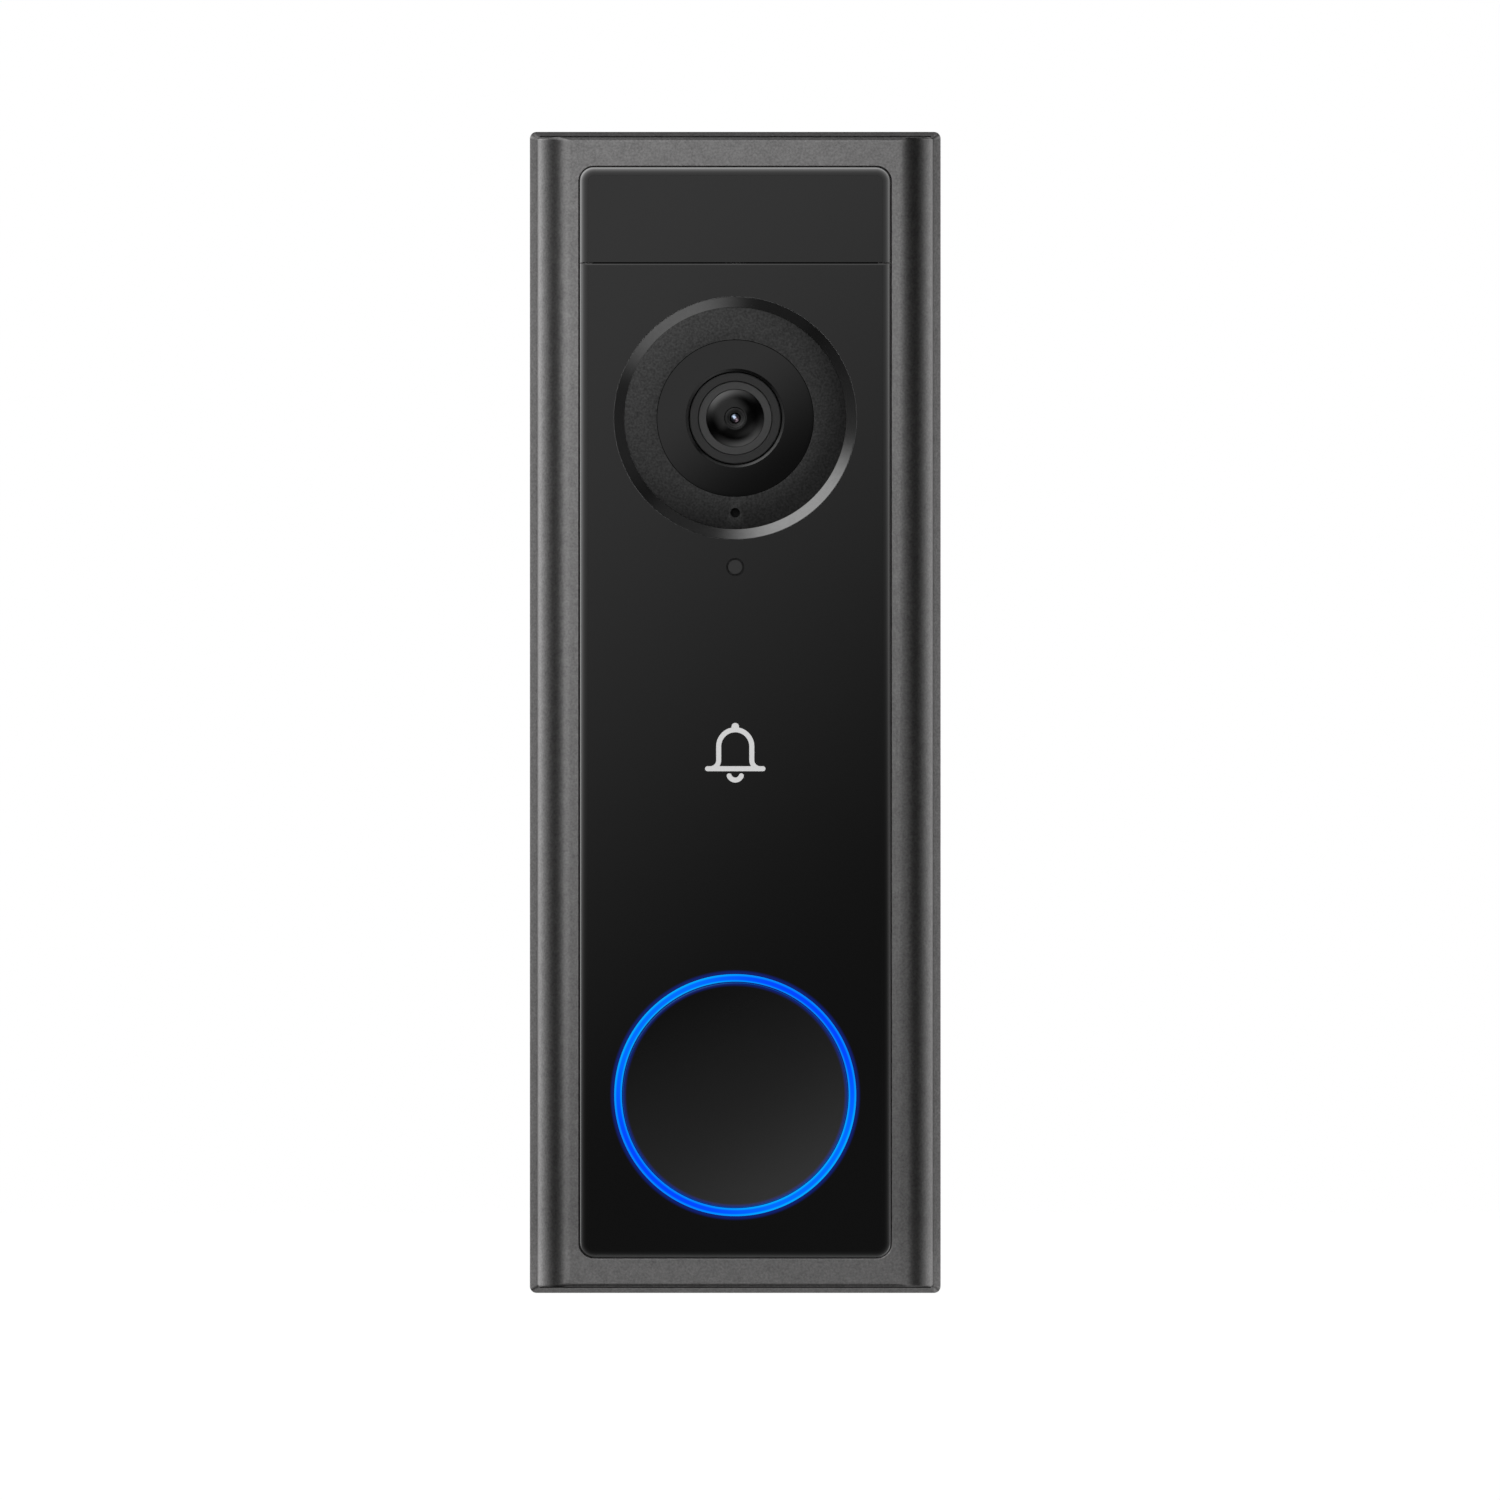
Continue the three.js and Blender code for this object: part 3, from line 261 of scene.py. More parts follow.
def turned(name, profile, cz, cx=0.0, steps=128, smooth=32):
    """A profile of (radius, y) turned about the Y axis: solid from the axis, or a ring on its own."""
    rings = []
    for r, y in profile:
        rings.append([(cx + x, y, cz + z) for x, z in circle(max(r, 0.001), steps=steps)])
    return to_object(name, rings_mesh(rings, profile[0][0] > 0), smooth)


AXES = {
    "x": lambda u, v, w: (w, u, v),
    "y": lambda u, v, w: (u, w, v),
    "z": lambda u, v, w: (u, v, w),
}


def prism(name, outline, axis, low, high, smooth=32):
    """An outline run along an axis: (y, z) along x, (x, z) along y and (x, y) along z."""
    place = AXES[axis]
    rings = [[place(u, v, w) for u, v in outline] for w in (low, high)]
    return to_object(name, rings_mesh(rings, False), smooth)


def finished(obj):
    """The object's mesh with its modifiers applied."""
    graph = bpy.context.evaluated_depsgraph_get()
    mesh = bpy.data.meshes.new_from_object(obj.evaluated_get(graph))
    obj.modifiers.clear()
    old = obj.data
    obj.data = mesh
    bpy.data.meshes.remove(old)
    return obj


def combine(obj, tools, operation, smooth=32):
    """Cuts the tools from the object, or joins them to it, and deletes them."""
    for tool in tools:
        step = obj.modifiers.new("step", "BOOLEAN")
        step.operation = operation
        step.solver = "EXACT"
        step.object = tool
        finished(obj)
        bpy.data.objects.remove(tool)
    shade(obj.data, smooth)
    return obj


def cut(obj, *tools, smooth=32):
    return combine(obj, tools, "DIFFERENCE", smooth)


def join(obj, *tools, smooth=32):
    return combine(obj, tools, "UNION", smooth)


def bevelled(obj, width, segments=3, angle=35):
    """Rounds the sharp edges by a width in millimetres."""
    bevel = obj.modifiers.new("edges", "BEVEL")
    bevel.width = width * MM
    bevel.segments = segments
    bevel.limit_method = "ANGLE"
    bevel.angle_limit = math.radians(angle)
    bevel.harden_normals = True
    return finished(obj)


def flat_faces(obj):
    """Keeps flat faces flat beside their rounded edges: the larger face sets the shading."""
    weighted = obj.modifiers.new("weighted", "WEIGHTED_NORMAL")
    weighted.weight = 100
    weighted.keep_sharp = True
    return finished(obj)


def place(obj, material, slot, *nodes, body="doorbell"):
    """Gives a piece its material, and lets it ride on a body in place of CAD nodes. The slot is not used.
    """
    obj.data.materials.clear()
    obj.data.materials.append(material)
    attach(obj, body)
    if nodes:
        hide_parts(*nodes)


# ---- Materials ----

class Nodes:
    """Short ways to add nodes to a node tree, and to set its Principled shader if it has one."""

    def __init__(self, tree):
        self.tree = tree
        self.shader = tree.nodes.get("Principled BSDF")

    def set(self, name, value):
        self.put(self.shader.inputs[name], value)

    def base_colour(self):
        return self.shader.inputs["Base Color"].links[0].from_socket

    def add(self, kind, *values, **settings):
        node = self.tree.nodes.new(kind)
        for key, value in settings.items():
            setattr(node, key, value)
        for socket, value in zip(node.inputs, values):
            self.put(socket, value)
        return node

    def put(self, socket, value):
        if isinstance(value, bpy.types.NodeSocket):
            self.tree.links.new(value, socket)
        elif value is not None:
            socket.default_value = value

    def math(self, operation, a, b=None, c=None):
        return self.add("ShaderNodeMath", a, b, c, operation=operation).outputs[0]

    def place(self):
        return self.add("ShaderNodeTexCoord").outputs["Object"]

    def named(self, kind, output, inputs, **settings):
        """An output of a node whose inputs are given by name."""
        node = self.add(kind, **settings)
        for name, value in inputs.items():
            self.put(node.inputs[name], value)
        return node.outputs[output]

    def noise(self, scale, detail=2.0, rough=0.5):
        inputs = {"Vector": self.place(), "Scale": scale, "Detail": detail, "Roughness": rough}
        return self.named("ShaderNodeTexNoise", "Fac", inputs)

    def ramp(self, value, low, high, to_low=0.0, to_high=1.0, smooth=False):
        kind = "SMOOTHSTEP" if smooth else "LINEAR"
        values = (value, low, high, to_low, to_high)
        return self.add("ShaderNodeMapRange", *values, interpolation_type=kind).outputs[0]

    def mix(self, factor, a, b):
        inputs = {"Factor": factor, "A": a, "B": b}
        return self.named("ShaderNodeMix", "Result", inputs, data_type="RGBA")

    def bump(self, height, strength, distance):
        inputs = {"Strength": strength, "Distance": distance, "Height": height}
        return self.named("ShaderNodeBump", "Normal", inputs)

    def xyz(self):
        """The place on the object, in metres."""
        return self.add("ShaderNodeSeparateXYZ", self.place()).outputs

    def offset(self, cz):
        """How far to +X and to +Z of an axis along Y, in metres."""
        x, _, z = self.xyz()
        return x, self.math("SUBTRACT", z, cz * MM)

    def length(self, a, b):
        squares = self.math("ADD", self.math("POWER", a, 2), self.math("POWER", b, 2))
        return self.math("SQRT", squares)

    def lean(self, x, z, along_x, along_z):
        """How far along a direction in the plane of the face."""
        return self.math("ADD", self.math("MULTIPLY", x, along_x), self.math("MULTIPLY", z, along_z))

    def product(self, *values):
        total = values[0]
        for value in values[1:]:
            total = self.math("MULTIPLY", total, value)
        return total


def grey(level, tint=(1, 1, 1)):
    return (level * tint[0], level * tint[1], level * tint[2], 1)


def surface(name, **settings):
    """A material with its node helper. The shader's sockets are set by name."""
    material = bpy.data.materials.new(name)
    material.use_nodes = True
    nodes = Nodes(material.node_tree)
    for key, value in settings.items():
        nodes.set(key.replace("_", " "), value)
    return material, nodes


def speckled(name, dark, light, grain, bump, rough, metallic=0.0, **settings):
    """Moulded or painted finish: two tones in fine grain, with a matching bump. grain is in mm."""
    material, nodes = surface(name, Roughness=rough, Metallic=metallic, **settings)
    fine = nodes.noise(1 / (grain * MM), 3.0, 0.6)
    level = nodes.ramp(fine, 0.3, 0.7)
    tones = [tone if isinstance(tone, tuple) else grey(tone) for tone in (dark, light)]
    nodes.set("Base Color", nodes.mix(level, *tones))
    nodes.set("Normal", nodes.bump(fine, bump, 0.02 * MM))
    return material


def housing_paint():
    """Graphite metallic paint, with painted light: paler along the side strips (the right one most) and the
    lower end, darker at the top.
    """
    material, nodes = surface("housing_paint", Metallic=1.0, Roughness=0.34)
    fine = nodes.noise(1 / (0.26 * MM), 2.0, 0.6)
    cloud = nodes.noise(1 / (1.1 * MM), 2.0)
    level = nodes.math("ADD", nodes.ramp(fine, 0.3, 0.7, 0.0, 0.75), nodes.ramp(cloud, 0.3, 0.7, 0.0, 0.25))
    tones = nodes.mix(level, grey(0.25, PAINT_TINT), grey(0.44, PAINT_TINT))
    x, _, z = nodes.xyz()
    strip_start, strip_end = (SIDE_X - SIDE_STRIP - 0.01) * MM, (SIDE_X - SIDE_STRIP + 0.14) * MM
    # Painted light and shade: the side strips, the right one most, and the lower end are lifted, and the
    # top is darkened.
    depth = nodes.product(
        nodes.ramp(nodes.math("ABSOLUTE", x), strip_start, strip_end, 1.0, PAINTED_LIGHT_LIFT),
        nodes.ramp(x, strip_start, strip_end, 1.0, PAINTED_LIGHT_LIFT),
        nodes.ramp(z, 45 * MM, 62 * MM, 1.0, 0.88),
        nodes.ramp(z, -57 * MM, -62 * MM, 1.0, PAINTED_LIGHT_LIFT),
    )
    inputs = {"Vector": tones, "Scale": depth}
    nodes.set("Base Color", nodes.named("ShaderNodeVectorMath", "Vector", inputs, operation="SCALE"))
    nodes.set("Normal", nodes.bump(fine, 0.4, 0.015 * MM))
    return material


def ring_place(nodes):
    """Distance from the middle of the light ring's width, inwards or outwards, in millimetres."""
    r = nodes.math("DIVIDE", nodes.length(*nodes.offset(BUTTON_Z)), MM)
    return nodes.math("ABSOLUTE", nodes.math("SUBTRACT", r, RING_MIDDLE))


def gloss_black(name, glow=False, ior=1.5):
    """High gloss black. Round the light ring it glows a faint blue: painted light that stands in for the
    ring's light spilling onto it.
    """
    material, nodes = surface(name, Roughness=0.04, IOR=ior)
    haze = nodes.ramp(nodes.noise(1 / (9 * MM), 2.0), 0.3, 0.7)
    nodes.set("Base Color", nodes.mix(haze, grey(0.0028), grey(0.0036)))
    if glow:
        # Painted light: a blue emission that fades out away from the ring.
        away = nodes.math("SUBTRACT", ring_place(nodes), RING_HALF)
        painted_ring_spill = nodes.ramp(away, 0.2, 0.56, 0.17, 0.0, smooth=True)
        nodes.set("Emission Color", (0.002, 0.05, 0.8, 1))
        nodes.set("Emission Strength", painted_ring_spill)
    return material, nodes


def panel_gloss(name, glow, lip):
    """Gloss panel with a painted highlight along its rim, and along the seam's lower lip: a pale satin
    metal line.
    """
    material, nodes = gloss_black(name, glow)
    x, _, z = nodes.xyz()
    past = []
    for value, edge in ((x, PANEL_X), (z, PANEL_Z)):
        beyond = nodes.math("SUBTRACT", nodes.math("ABSOLUTE", value), (edge - PANEL_CORNER) * MM)
        past.append(nodes.math("MAXIMUM", beyond, 0.0))
    out = nodes.length(*past)
    inset = nodes.math("SUBTRACT", PANEL_CORNER, nodes.math("DIVIDE", out, MM))
    # The rim's painted highlight: strongest at the outline and falling off inwards.
    fall = nodes.math("EXPONENT", nodes.math("MULTIPLY", nodes.math("SUBTRACT", inset, 0.14), -6.0))
    rim = nodes.math("MINIMUM", fall, 1.0)
    # The seam's lower lip gets a painted highlight too.
    if lip:
        edge = nodes.ramp(z, (SEAM_Z - 0.24) * MM, (SEAM_Z - 0.14) * MM, 0.0, 0.16)
        rim = nodes.math("MAXIMUM", rim, edge)
    black = nodes.base_colour()
    painted_highlight_mask = nodes.ramp(rim, 0.006, 0.010)
    tone = nodes.mix(rim, grey(0.04), grey(RIM_HIGHLIGHT_TONE))
    nodes.set("Metallic", painted_highlight_mask)
    nodes.set("Roughness", nodes.ramp(rim, 0.0, 0.3, 0.04, 0.14))
    nodes.set("Base Color", nodes.mix(painted_highlight_mask, black, tone))
    return material


def cap_gloss():
    """The button's gloss, its black a shade paler towards its lower side: a painted reflection of the light
    from above.
    """
    material, nodes = gloss_black("button_gloss", glow=True)
    slope = nodes.lean(*nodes.offset(BUTTON_Z), -LIGHT_X, -LIGHT_Z)
    # Painted reflection: the black turns paler towards the lower side, along the light's direction.
    fade = nodes.ramp(slope, -12 * MM, 12.5 * MM)
    black = nodes.base_colour()
    nodes.set("Base Color", nodes.mix(fade, black, grey(0.08)))
    return material


def light_ring_glow():
    """The lit ring: deep blue along its middle, azure along its edges, brighter on one diagonal."""
    material, nodes = surface("light_ring_glow", Roughness=0.3, IOR=1.15)
    side = nodes.math("DIVIDE", ring_place(nodes), RING_HALF)
    edge = nodes.ramp(side, 0.35, 0.8, smooth=True)
    diagonal = nodes.product(*nodes.offset(BUTTON_Z), -1 / (RING_MIDDLE * MM) ** 2)
    bright = nodes.ramp(diagonal, -0.45, 0.45, smooth=True)
    core = nodes.mix(bright, (0.0, 0.055, 1, 1), (0.0, 0.15, 1, 1))
    rim = nodes.mix(bright, (0.0, 0.24, 1, 1), (0.0, 0.40, 1, 1))
    colour = nodes.mix(edge, core, rim)
    nodes.set("Base Color", (0.0, 0.02, 0.12, 1))
    nodes.set("Emission Color", colour)
    nodes.set("Emission Strength", 1.0)
    return material


def lens_black():
    """The dark coated dome, with a painted highlight on its edge: pale above and below, and dark across."""
    material, nodes = gloss_black("lens_black", ior=1.4)
    x, dz = nodes.offset(CAMERA_Z)
    r = nodes.length(x, dz)
    slope = nodes.math("DIVIDE", nodes.lean(x, dz, LIGHT_X, LIGHT_Z), r)
    aim = nodes.math("POWER", nodes.math("ABSOLUTE", slope), 2.6)
    # Painted highlight: paler towards the rim, most along the light's direction.
    edge = nodes.ramp(r, 2.2 * MM, 3.15 * MM, 0.0, 0.34, smooth=True)
    black = nodes.base_colour()
    pale = nodes.product(edge, aim)
    nodes.set("Base Color", nodes.mix(pale, black, grey(1.0)))
    return material


def pupil_glass():
    """The small inner lens: a coated dome, bluish on one side and pinkish on the other."""
    material, nodes = surface("pupil_glass", Roughness=0.03, Metallic=1.0)
    x, dz = nodes.offset(CAMERA_Z)
    side = nodes.ramp(nodes.lean(x, dz, 0.7, -0.7), -0.1 * MM, 0.15 * MM)
    tint = nodes.mix(side, (0.62, 0.76, 1, 1), (0.95, 0.72, 0.88, 1))
    depth = nodes.ramp(nodes.length(x, dz), 0.34 * MM, 0.52 * MM, smooth=True)
    nodes.set("Base Color", nodes.mix(depth, tint, grey(0.02)))
    return material


def lens_glass():
    material, nodes = surface("lens_glass", Roughness=0.0, IOR=1.5)
    nodes.set("Transmission Weight", 1.0)
    haze = nodes.ramp(nodes.noise(1 / (3 * MM), 1.0), 0.3, 0.7)
    nodes.set("Base Color", nodes.mix(haze, (0.86, 0.88, 0.92, 1), (0.9, 0.92, 0.95, 1)))
    return material


PAINT = housing_paint()
GLOSS = panel_gloss("panel_gloss", True, True)
WINDOW_GLOSS = panel_gloss("window_gloss", False, False)
CAP_GLOSS = cap_gloss()
RING_GLOW = light_ring_glow()
LENS_GLASS = lens_glass()
LENS_BLACK = lens_black()
DISC_GLOSS, _ = gloss_black("disc_gloss", ior=1.44)
MATTE_RING = speckled("camera_matte", 0.043, 0.088, 0.24, 0.35, 0.33, 1.0)
TRIM_METAL = speckled("trim_metal", 0.47, 0.51, 0.5, 0.02, 0.2, 1.0)
BARREL_BLACK = speckled("barrel_black", 0.081, 0.089, 0.25, 0.05, 0.6)
RETAINER_BLACK = speckled("retainer_black", 0.164, 0.176, 0.25, 0.05, 0.6)
TERMINAL_BLACK = speckled("terminal_black", 0.024, 0.034, 0.3, 0.15, 0.35)
MOULDED = speckled("moulded_black", 0.016, 0.026, 0.35, 0.35, 0.55)
BRACKET = speckled("bracket_plastic", 0.022, 0.034, 0.4, 0.4, 0.6)
BOARD = speckled("circuit_board", (0.008, 0.06, 0.03, 1), (0.015, 0.1, 0.05, 1), 0.8, 0.1, 0.4)
STEEL = speckled("brushed_steel", 0.5, 0.62, 0.3, 0.1, 0.3, 1.0)
BRASS = speckled("brass", (0.6, 0.4, 0.16, 1), (0.72, 0.5, 0.22, 1), 0.4, 0.1, 0.28, 1.0)
RUBBER = speckled("rubber", 0.012, 0.02, 0.25, 0.4, 0.8)
SILICONE = speckled("silicone", 0.45, 0.55, 0.6, 0.2, 0.5)
CHIP = speckled("chip", 0.012, 0.018, 0.3, 0.2, 0.4)
LED_RESIN = speckled("led_resin", (0.7, 0.68, 0.5, 1), (0.8, 0.78, 0.62, 1), 0.4, 0.05, 0.2)
WRAP = speckled("battery_wrap", (0.02, 0.05, 0.14, 1), (0.03, 0.07, 0.18, 1), 1.5, 0.1, 0.3)
BORE_SATIN = speckled("bore_satin", 0.18, 0.21, 0.3, 0.05, 0.26, 1.0)
HOLDER_BLACK = speckled("holder_black", 0.062, 0.075, 0.2, 0.05, 0.35)
PUPIL_GLASS = pupil_glass()
DOT_SMOKE = speckled("dot_smoke", 0.085, 0.092, 0.5, 0.0, 0.45)
# The grey print is the mark's own colour; its glow is painted light, since the mark is no lamp.
PRINT_PAINTED_GLOW = {"Emission_Strength": 0.44, "Emission_Color": (1, 1, 1, 1)}
PRINT_GREY = speckled("print_grey", 0.70, 0.74, 0.4, 0.05, 0.5, **PRINT_PAINTED_GLOW)

SLOT_MATERIALS = {
    "painted_shell": PAINT,
    "gloss_black": WINDOW_GLOSS,
    "matte_black": MATTE_RING,
    "black_plastic": MOULDED,
    "bracket_plastic": BRACKET,
    "polished_trim": TRIM_METAL,
    "optics": LENS_GLASS,
    "light_guide": RING_GLOW,
    "circuit_board": BOARD,
    "steel": STEEL,
    "brass": BRASS,
    "rubber": RUBBER,
    "silicone": SILICONE,
    "chip": CHIP,
    "led_package": LED_RESIN,
    "battery_wrap": WRAP,
}


def finish_cad_nodes():
    """Every CAD node takes the material of its record slot."""
    for part in frame["record"]["subparts"]:
        mesh = frame["nodes"][part["node"]].data
        mesh.materials.clear()
        mesh.materials.append(SLOT_MATERIALS[part["material_slot"]])


# ---- Housing ----

def outer_loops():
    """Loops from the face's outer edge over the shoulder, the strip and the side to the rear rim."""
    edge_x = SIDE_X - SIDE_STRIP
    edge_z = TOP_Z - END_STRIP
    shoulder_y = FRONT + SHOULDER
    flat = 0.03
    loops = [(edge_x - SHOULDER - flat, edge_z - END_FILLET - flat, INNER_CORNER, FRONT)]
    steps = 36
    for i in range(steps + 1):
        t = math.radians(90 - 90 * i / steps)
        x = edge_x - SHOULDER + SHOULDER * math.cos(t)
        y = shoulder_y - SHOULDER * math.sin(t)
        deep = min(max((FRONT + END_FILLET - y) / END_FILLET, 0), 1)
        z = edge_z - END_FILLET + END_FILLET * math.sqrt(1 - deep * deep)
        loops.append((x, z, INNER_CORNER, y))
    side_y = shoulder_y + SIDE_STRIP
    side = ((0.04, side_y - 0.06), (0, side_y + 0.04), (0, RIM - 0.2), (0.06, RIM - 0.06), (0.2, RIM))
    return loops + [(SIDE_X - inset, TOP_Z - inset, CORNER, y) for inset, y in side]


def inner_loops():
    """Loops from the rear rim through the recess and the cavity to the panels' pocket."""
    skirt_x, skirt_z = SIDE_X - SKIRT_WALL, TOP_Z - SKIRT_WALL
    room_x, room_z = skirt_x - SEAT_STEP, skirt_z - SEAT_STEP
    pocket_x, pocket_z, pocket_r = PANEL_X + GAP, PANEL_Z + GAP, PANEL_CORNER + GAP
    open_x, open_z, open_r = pocket_x - LEDGE, pocket_z - LEDGE, 0.3
    ledge_y = PANEL_BACK + 0.1
    loops = [
        (skirt_x + 0.2, skirt_z + 0.2, 1, RIM), (skirt_x, skirt_z, 1, RIM - 0.2),
        (skirt_x, skirt_z, 1, SEAT_Y), (room_x, room_z, 1, SEAT_Y), (room_x, room_z, 1, CAVITY_FRONT),
        (open_x, open_z, open_r, CAVITY_FRONT), (open_x, open_z, open_r, ledge_y),
    ]
    pocket = ((0, ledge_y), (0, FRONT + 0.1), (0.04, FRONT + 0.015), (0.07, FRONT), (0.1, FRONT))
    return loops + [(pocket_x + grow, pocket_z + grow, pocket_r, y) for grow, y in pocket]


def speaker_slot(i):
    outline = shifted(rounded_rect(2.5, 0.6, 0.59), i * SPEAKER_PITCH, SPEAKER_Y)
    return prism(f"slot_{i}", outline, "z", -TOP_Z - 1, -TOP_Z + 3.5)


def build_housing():
    shell = loft("housing_shell", outer_loops() + inner_loops(), closed=True, smooth=28)
    latch_y = box("wall_bracket")[1].y + LATCH_Y
    tools = [speaker_slot(i) for i in range(-2, 3)]
    mouth = FRONT + 0.1
    for name, low, high in (("groove_top", *GROOVE_TOP), ("groove_end", *GROOVE_END)):
        outline = [(mouth, low), (FRONT + GROOVE_DEEP, (low + high) / 2), (mouth, high)]
        tools.append(prism(name, outline, "x", -GROOVE_X, GROOVE_X))
    tools.append(prism("pin_hole", circle(1, 0, latch_y, 48), "z", -TOP_Z - 1, -TOP_Z + 3))
    flat_faces(cut(shell, *tools, smooth=28))
    place(shell, PAINT, "painted_shell", "front_housing")


# ---- Panels ----

def panel_loops():
    """The panels' common outline, from the flat of the face over its rounded rim to the back."""
    face = FRONT + PRINT
    flat = PANEL_ROUND + 0.03
    loops = [(PANEL_X - flat, PANEL_Z - flat, PANEL_CORNER - flat, face)]
    steps = 12
    for i in range(steps + 1):
        t = math.radians(90 * i / steps)
        inset = PANEL_ROUND * (1 - math.sin(t))
        drop = PANEL_DROP * (1 - math.cos(t))
        r = max(PANEL_CORNER - inset, 0.3)
        loops.append((PANEL_X - inset, PANEL_Z - inset, r, face + drop))
    loops.append((PANEL_X, PANEL_Z, PANEL_CORNER, PANEL_BACK))
    return loops


def split(obj, below):
    """Keeps the part of the panel blank below or above the seam, closed again."""
    bm = bmesh.new()
    bm.from_mesh(obj.data)
    gap = SEAM_GAP / 2 * MM
    seam = SEAM_Z * MM + (-gap if below else gap)
    geometry = bm.verts[:] + bm.edges[:] + bm.faces[:]
    plane = {"plane_co": (0, 0, seam), "plane_no": (0, 0, 1)}
    bmesh.ops.bisect_plane(bm, geom=geometry, clear_outer=below, clear_inner=not below, **plane)
    open_edges = [e for e in bm.edges if e.is_boundary]
    made = bmesh.ops.contextual_create(bm, geom=open_edges)["faces"]
    face_y = (FRONT + PRINT) * MM
    lip = [e for f in made for e in f.edges if all(abs(v.co.y - face_y) < 1e-7 for v in e.verts)]
    bmesh.ops.bevel(bm, geom=lip, offset=0.07 * MM, segments=3, affect="EDGES", profile=0.5)
    bm.to_mesh(obj.data)
    bm.free()
    shade(obj.data, 28)
    return obj


def build_panels():
    lower = split(loft("glossy_panel", panel_loops()), below=True)
    upper = split(loft("glossy_window", panel_loops()), below=False)
    holes = []
    camera, button = (TRIM_R + 0.03, CAMERA_Z, 160), (RING_OUT_R + 0.03, BUTTON_Z, 160)
    for r, z, steps in (camera, button, (DOT_R, DOT_Z, 48)):
        holes.append(prism("panel_hole", circle(r, 0, z, steps), "y", FRONT - 1, 0))
    flat_faces(cut(lower, *holes, smooth=28))
    flat_faces(upper)
    place(lower, GLOSS, "gloss_black", "front_panel")
    place(upper, WINDOW_GLOSS, "gloss_black", "sensor_window")


# ---- Camera ----

def turned_ring(outer, inner, front, back, outer_edge, inner_edge):
    """Profile of a plain ring whose two front edges are broken."""
    return [
        (outer, back), (outer, front + outer_edge), (outer - outer_edge, front),
        (inner + inner_edge, front), (inner, front + inner_edge), (inner, back),
    ]


def build_trim(carrier):
    inner = box("camera_trim_ring")[1].y
    flange_r = radius("camera_trim_ring")
    profile = [
        (TRIM_R, PANEL_BACK + 0.1), (TRIM_R, FRONT + 0.05), (TRIM_R - 0.03, FRONT + PRINT),
        (FACE_R + 0.05, FACE_Y), (FACE_R + 0.05, carrier), (FACE_R - 0.95, carrier),
        (FACE_R - 0.95, inner), (flange_r, inner), (flange_r, PANEL_BACK + 0.1),
    ]
    trim = turned("trim_ring", profile, CAMERA_Z, smooth=25)
    place(trim, TRIM_METAL, "polished_trim", "camera_trim_ring")


def build_face_ring(carrier):
    profile = [
        (FACE_R + 0.03, FACE_Y + 0.02), (FACE_R - 0.03, FACE_Y), (IR_R + 0.03, FACE_Y),
        (IR_R + 0.01, FACE_Y + 0.02), (IR_R + 0.01, carrier - 0.05), (FACE_R + 0.03, carrier - 0.05),
    ]
    matte = turned("matte_ring", profile, CAMERA_Z)
    cut(matte, prism("mic_hole", circle(MIC_R, 0, centre("microphone").z, 40), "y", FRONT - 1, 0))
    place(matte, MATTE_RING, "matte_black", "camera_face_ring")


def build_ir_window(carrier):
    """The dark disc, which falls away a little from its bore to its rim."""
    window_y = box("ir_window")[0].y
    crown = 0.27
    rim_y = window_y + crown
    rim_r = IR_R - 0.04
    profile = [(IR_R, carrier - 0.1), (IR_R, rim_y + 0.05), (rim_r, rim_y)]
    steps = 16
    for i in range(1, steps + 1):
        r = rim_r + (BORE_R - IR_R) * i / steps
        profile.append((r, rim_y - (IR_R * IR_R - r * r) * crown / (IR_R * IR_R)))
    profile.append((BORE_R - 0.04, carrier - 0.1))
    place(turned("ir_window_glass", profile, CAMERA_Z), DISC_GLOSS, "gloss_black", "ir_window")
    build_bore(window_y)


def build_bore(window_y):
    """The satin chamfer round the window's bore."""
    inner = BARREL_R + 0.12
    profile = [
        (BORE_R - 0.03, window_y + 0.1), (BORE_R - 0.05, window_y + 0.06), (inner, window_y + 0.34),
        (inner - 0.02, window_y + 3), (BORE_R - 0.03, window_y + 3),
    ]
    place(turned("bore_edge", profile, CAMERA_Z), BORE_SATIN, "matte_black")


def dome(r, apex, sphere, steps=32):
    """Profile of a spherical dome from its axis out to a radius."""
    across = [r * i / steps for i in range(steps + 1)]
    return [(x, apex + sphere - math.sqrt(sphere * sphere - x * x)) for x in across]


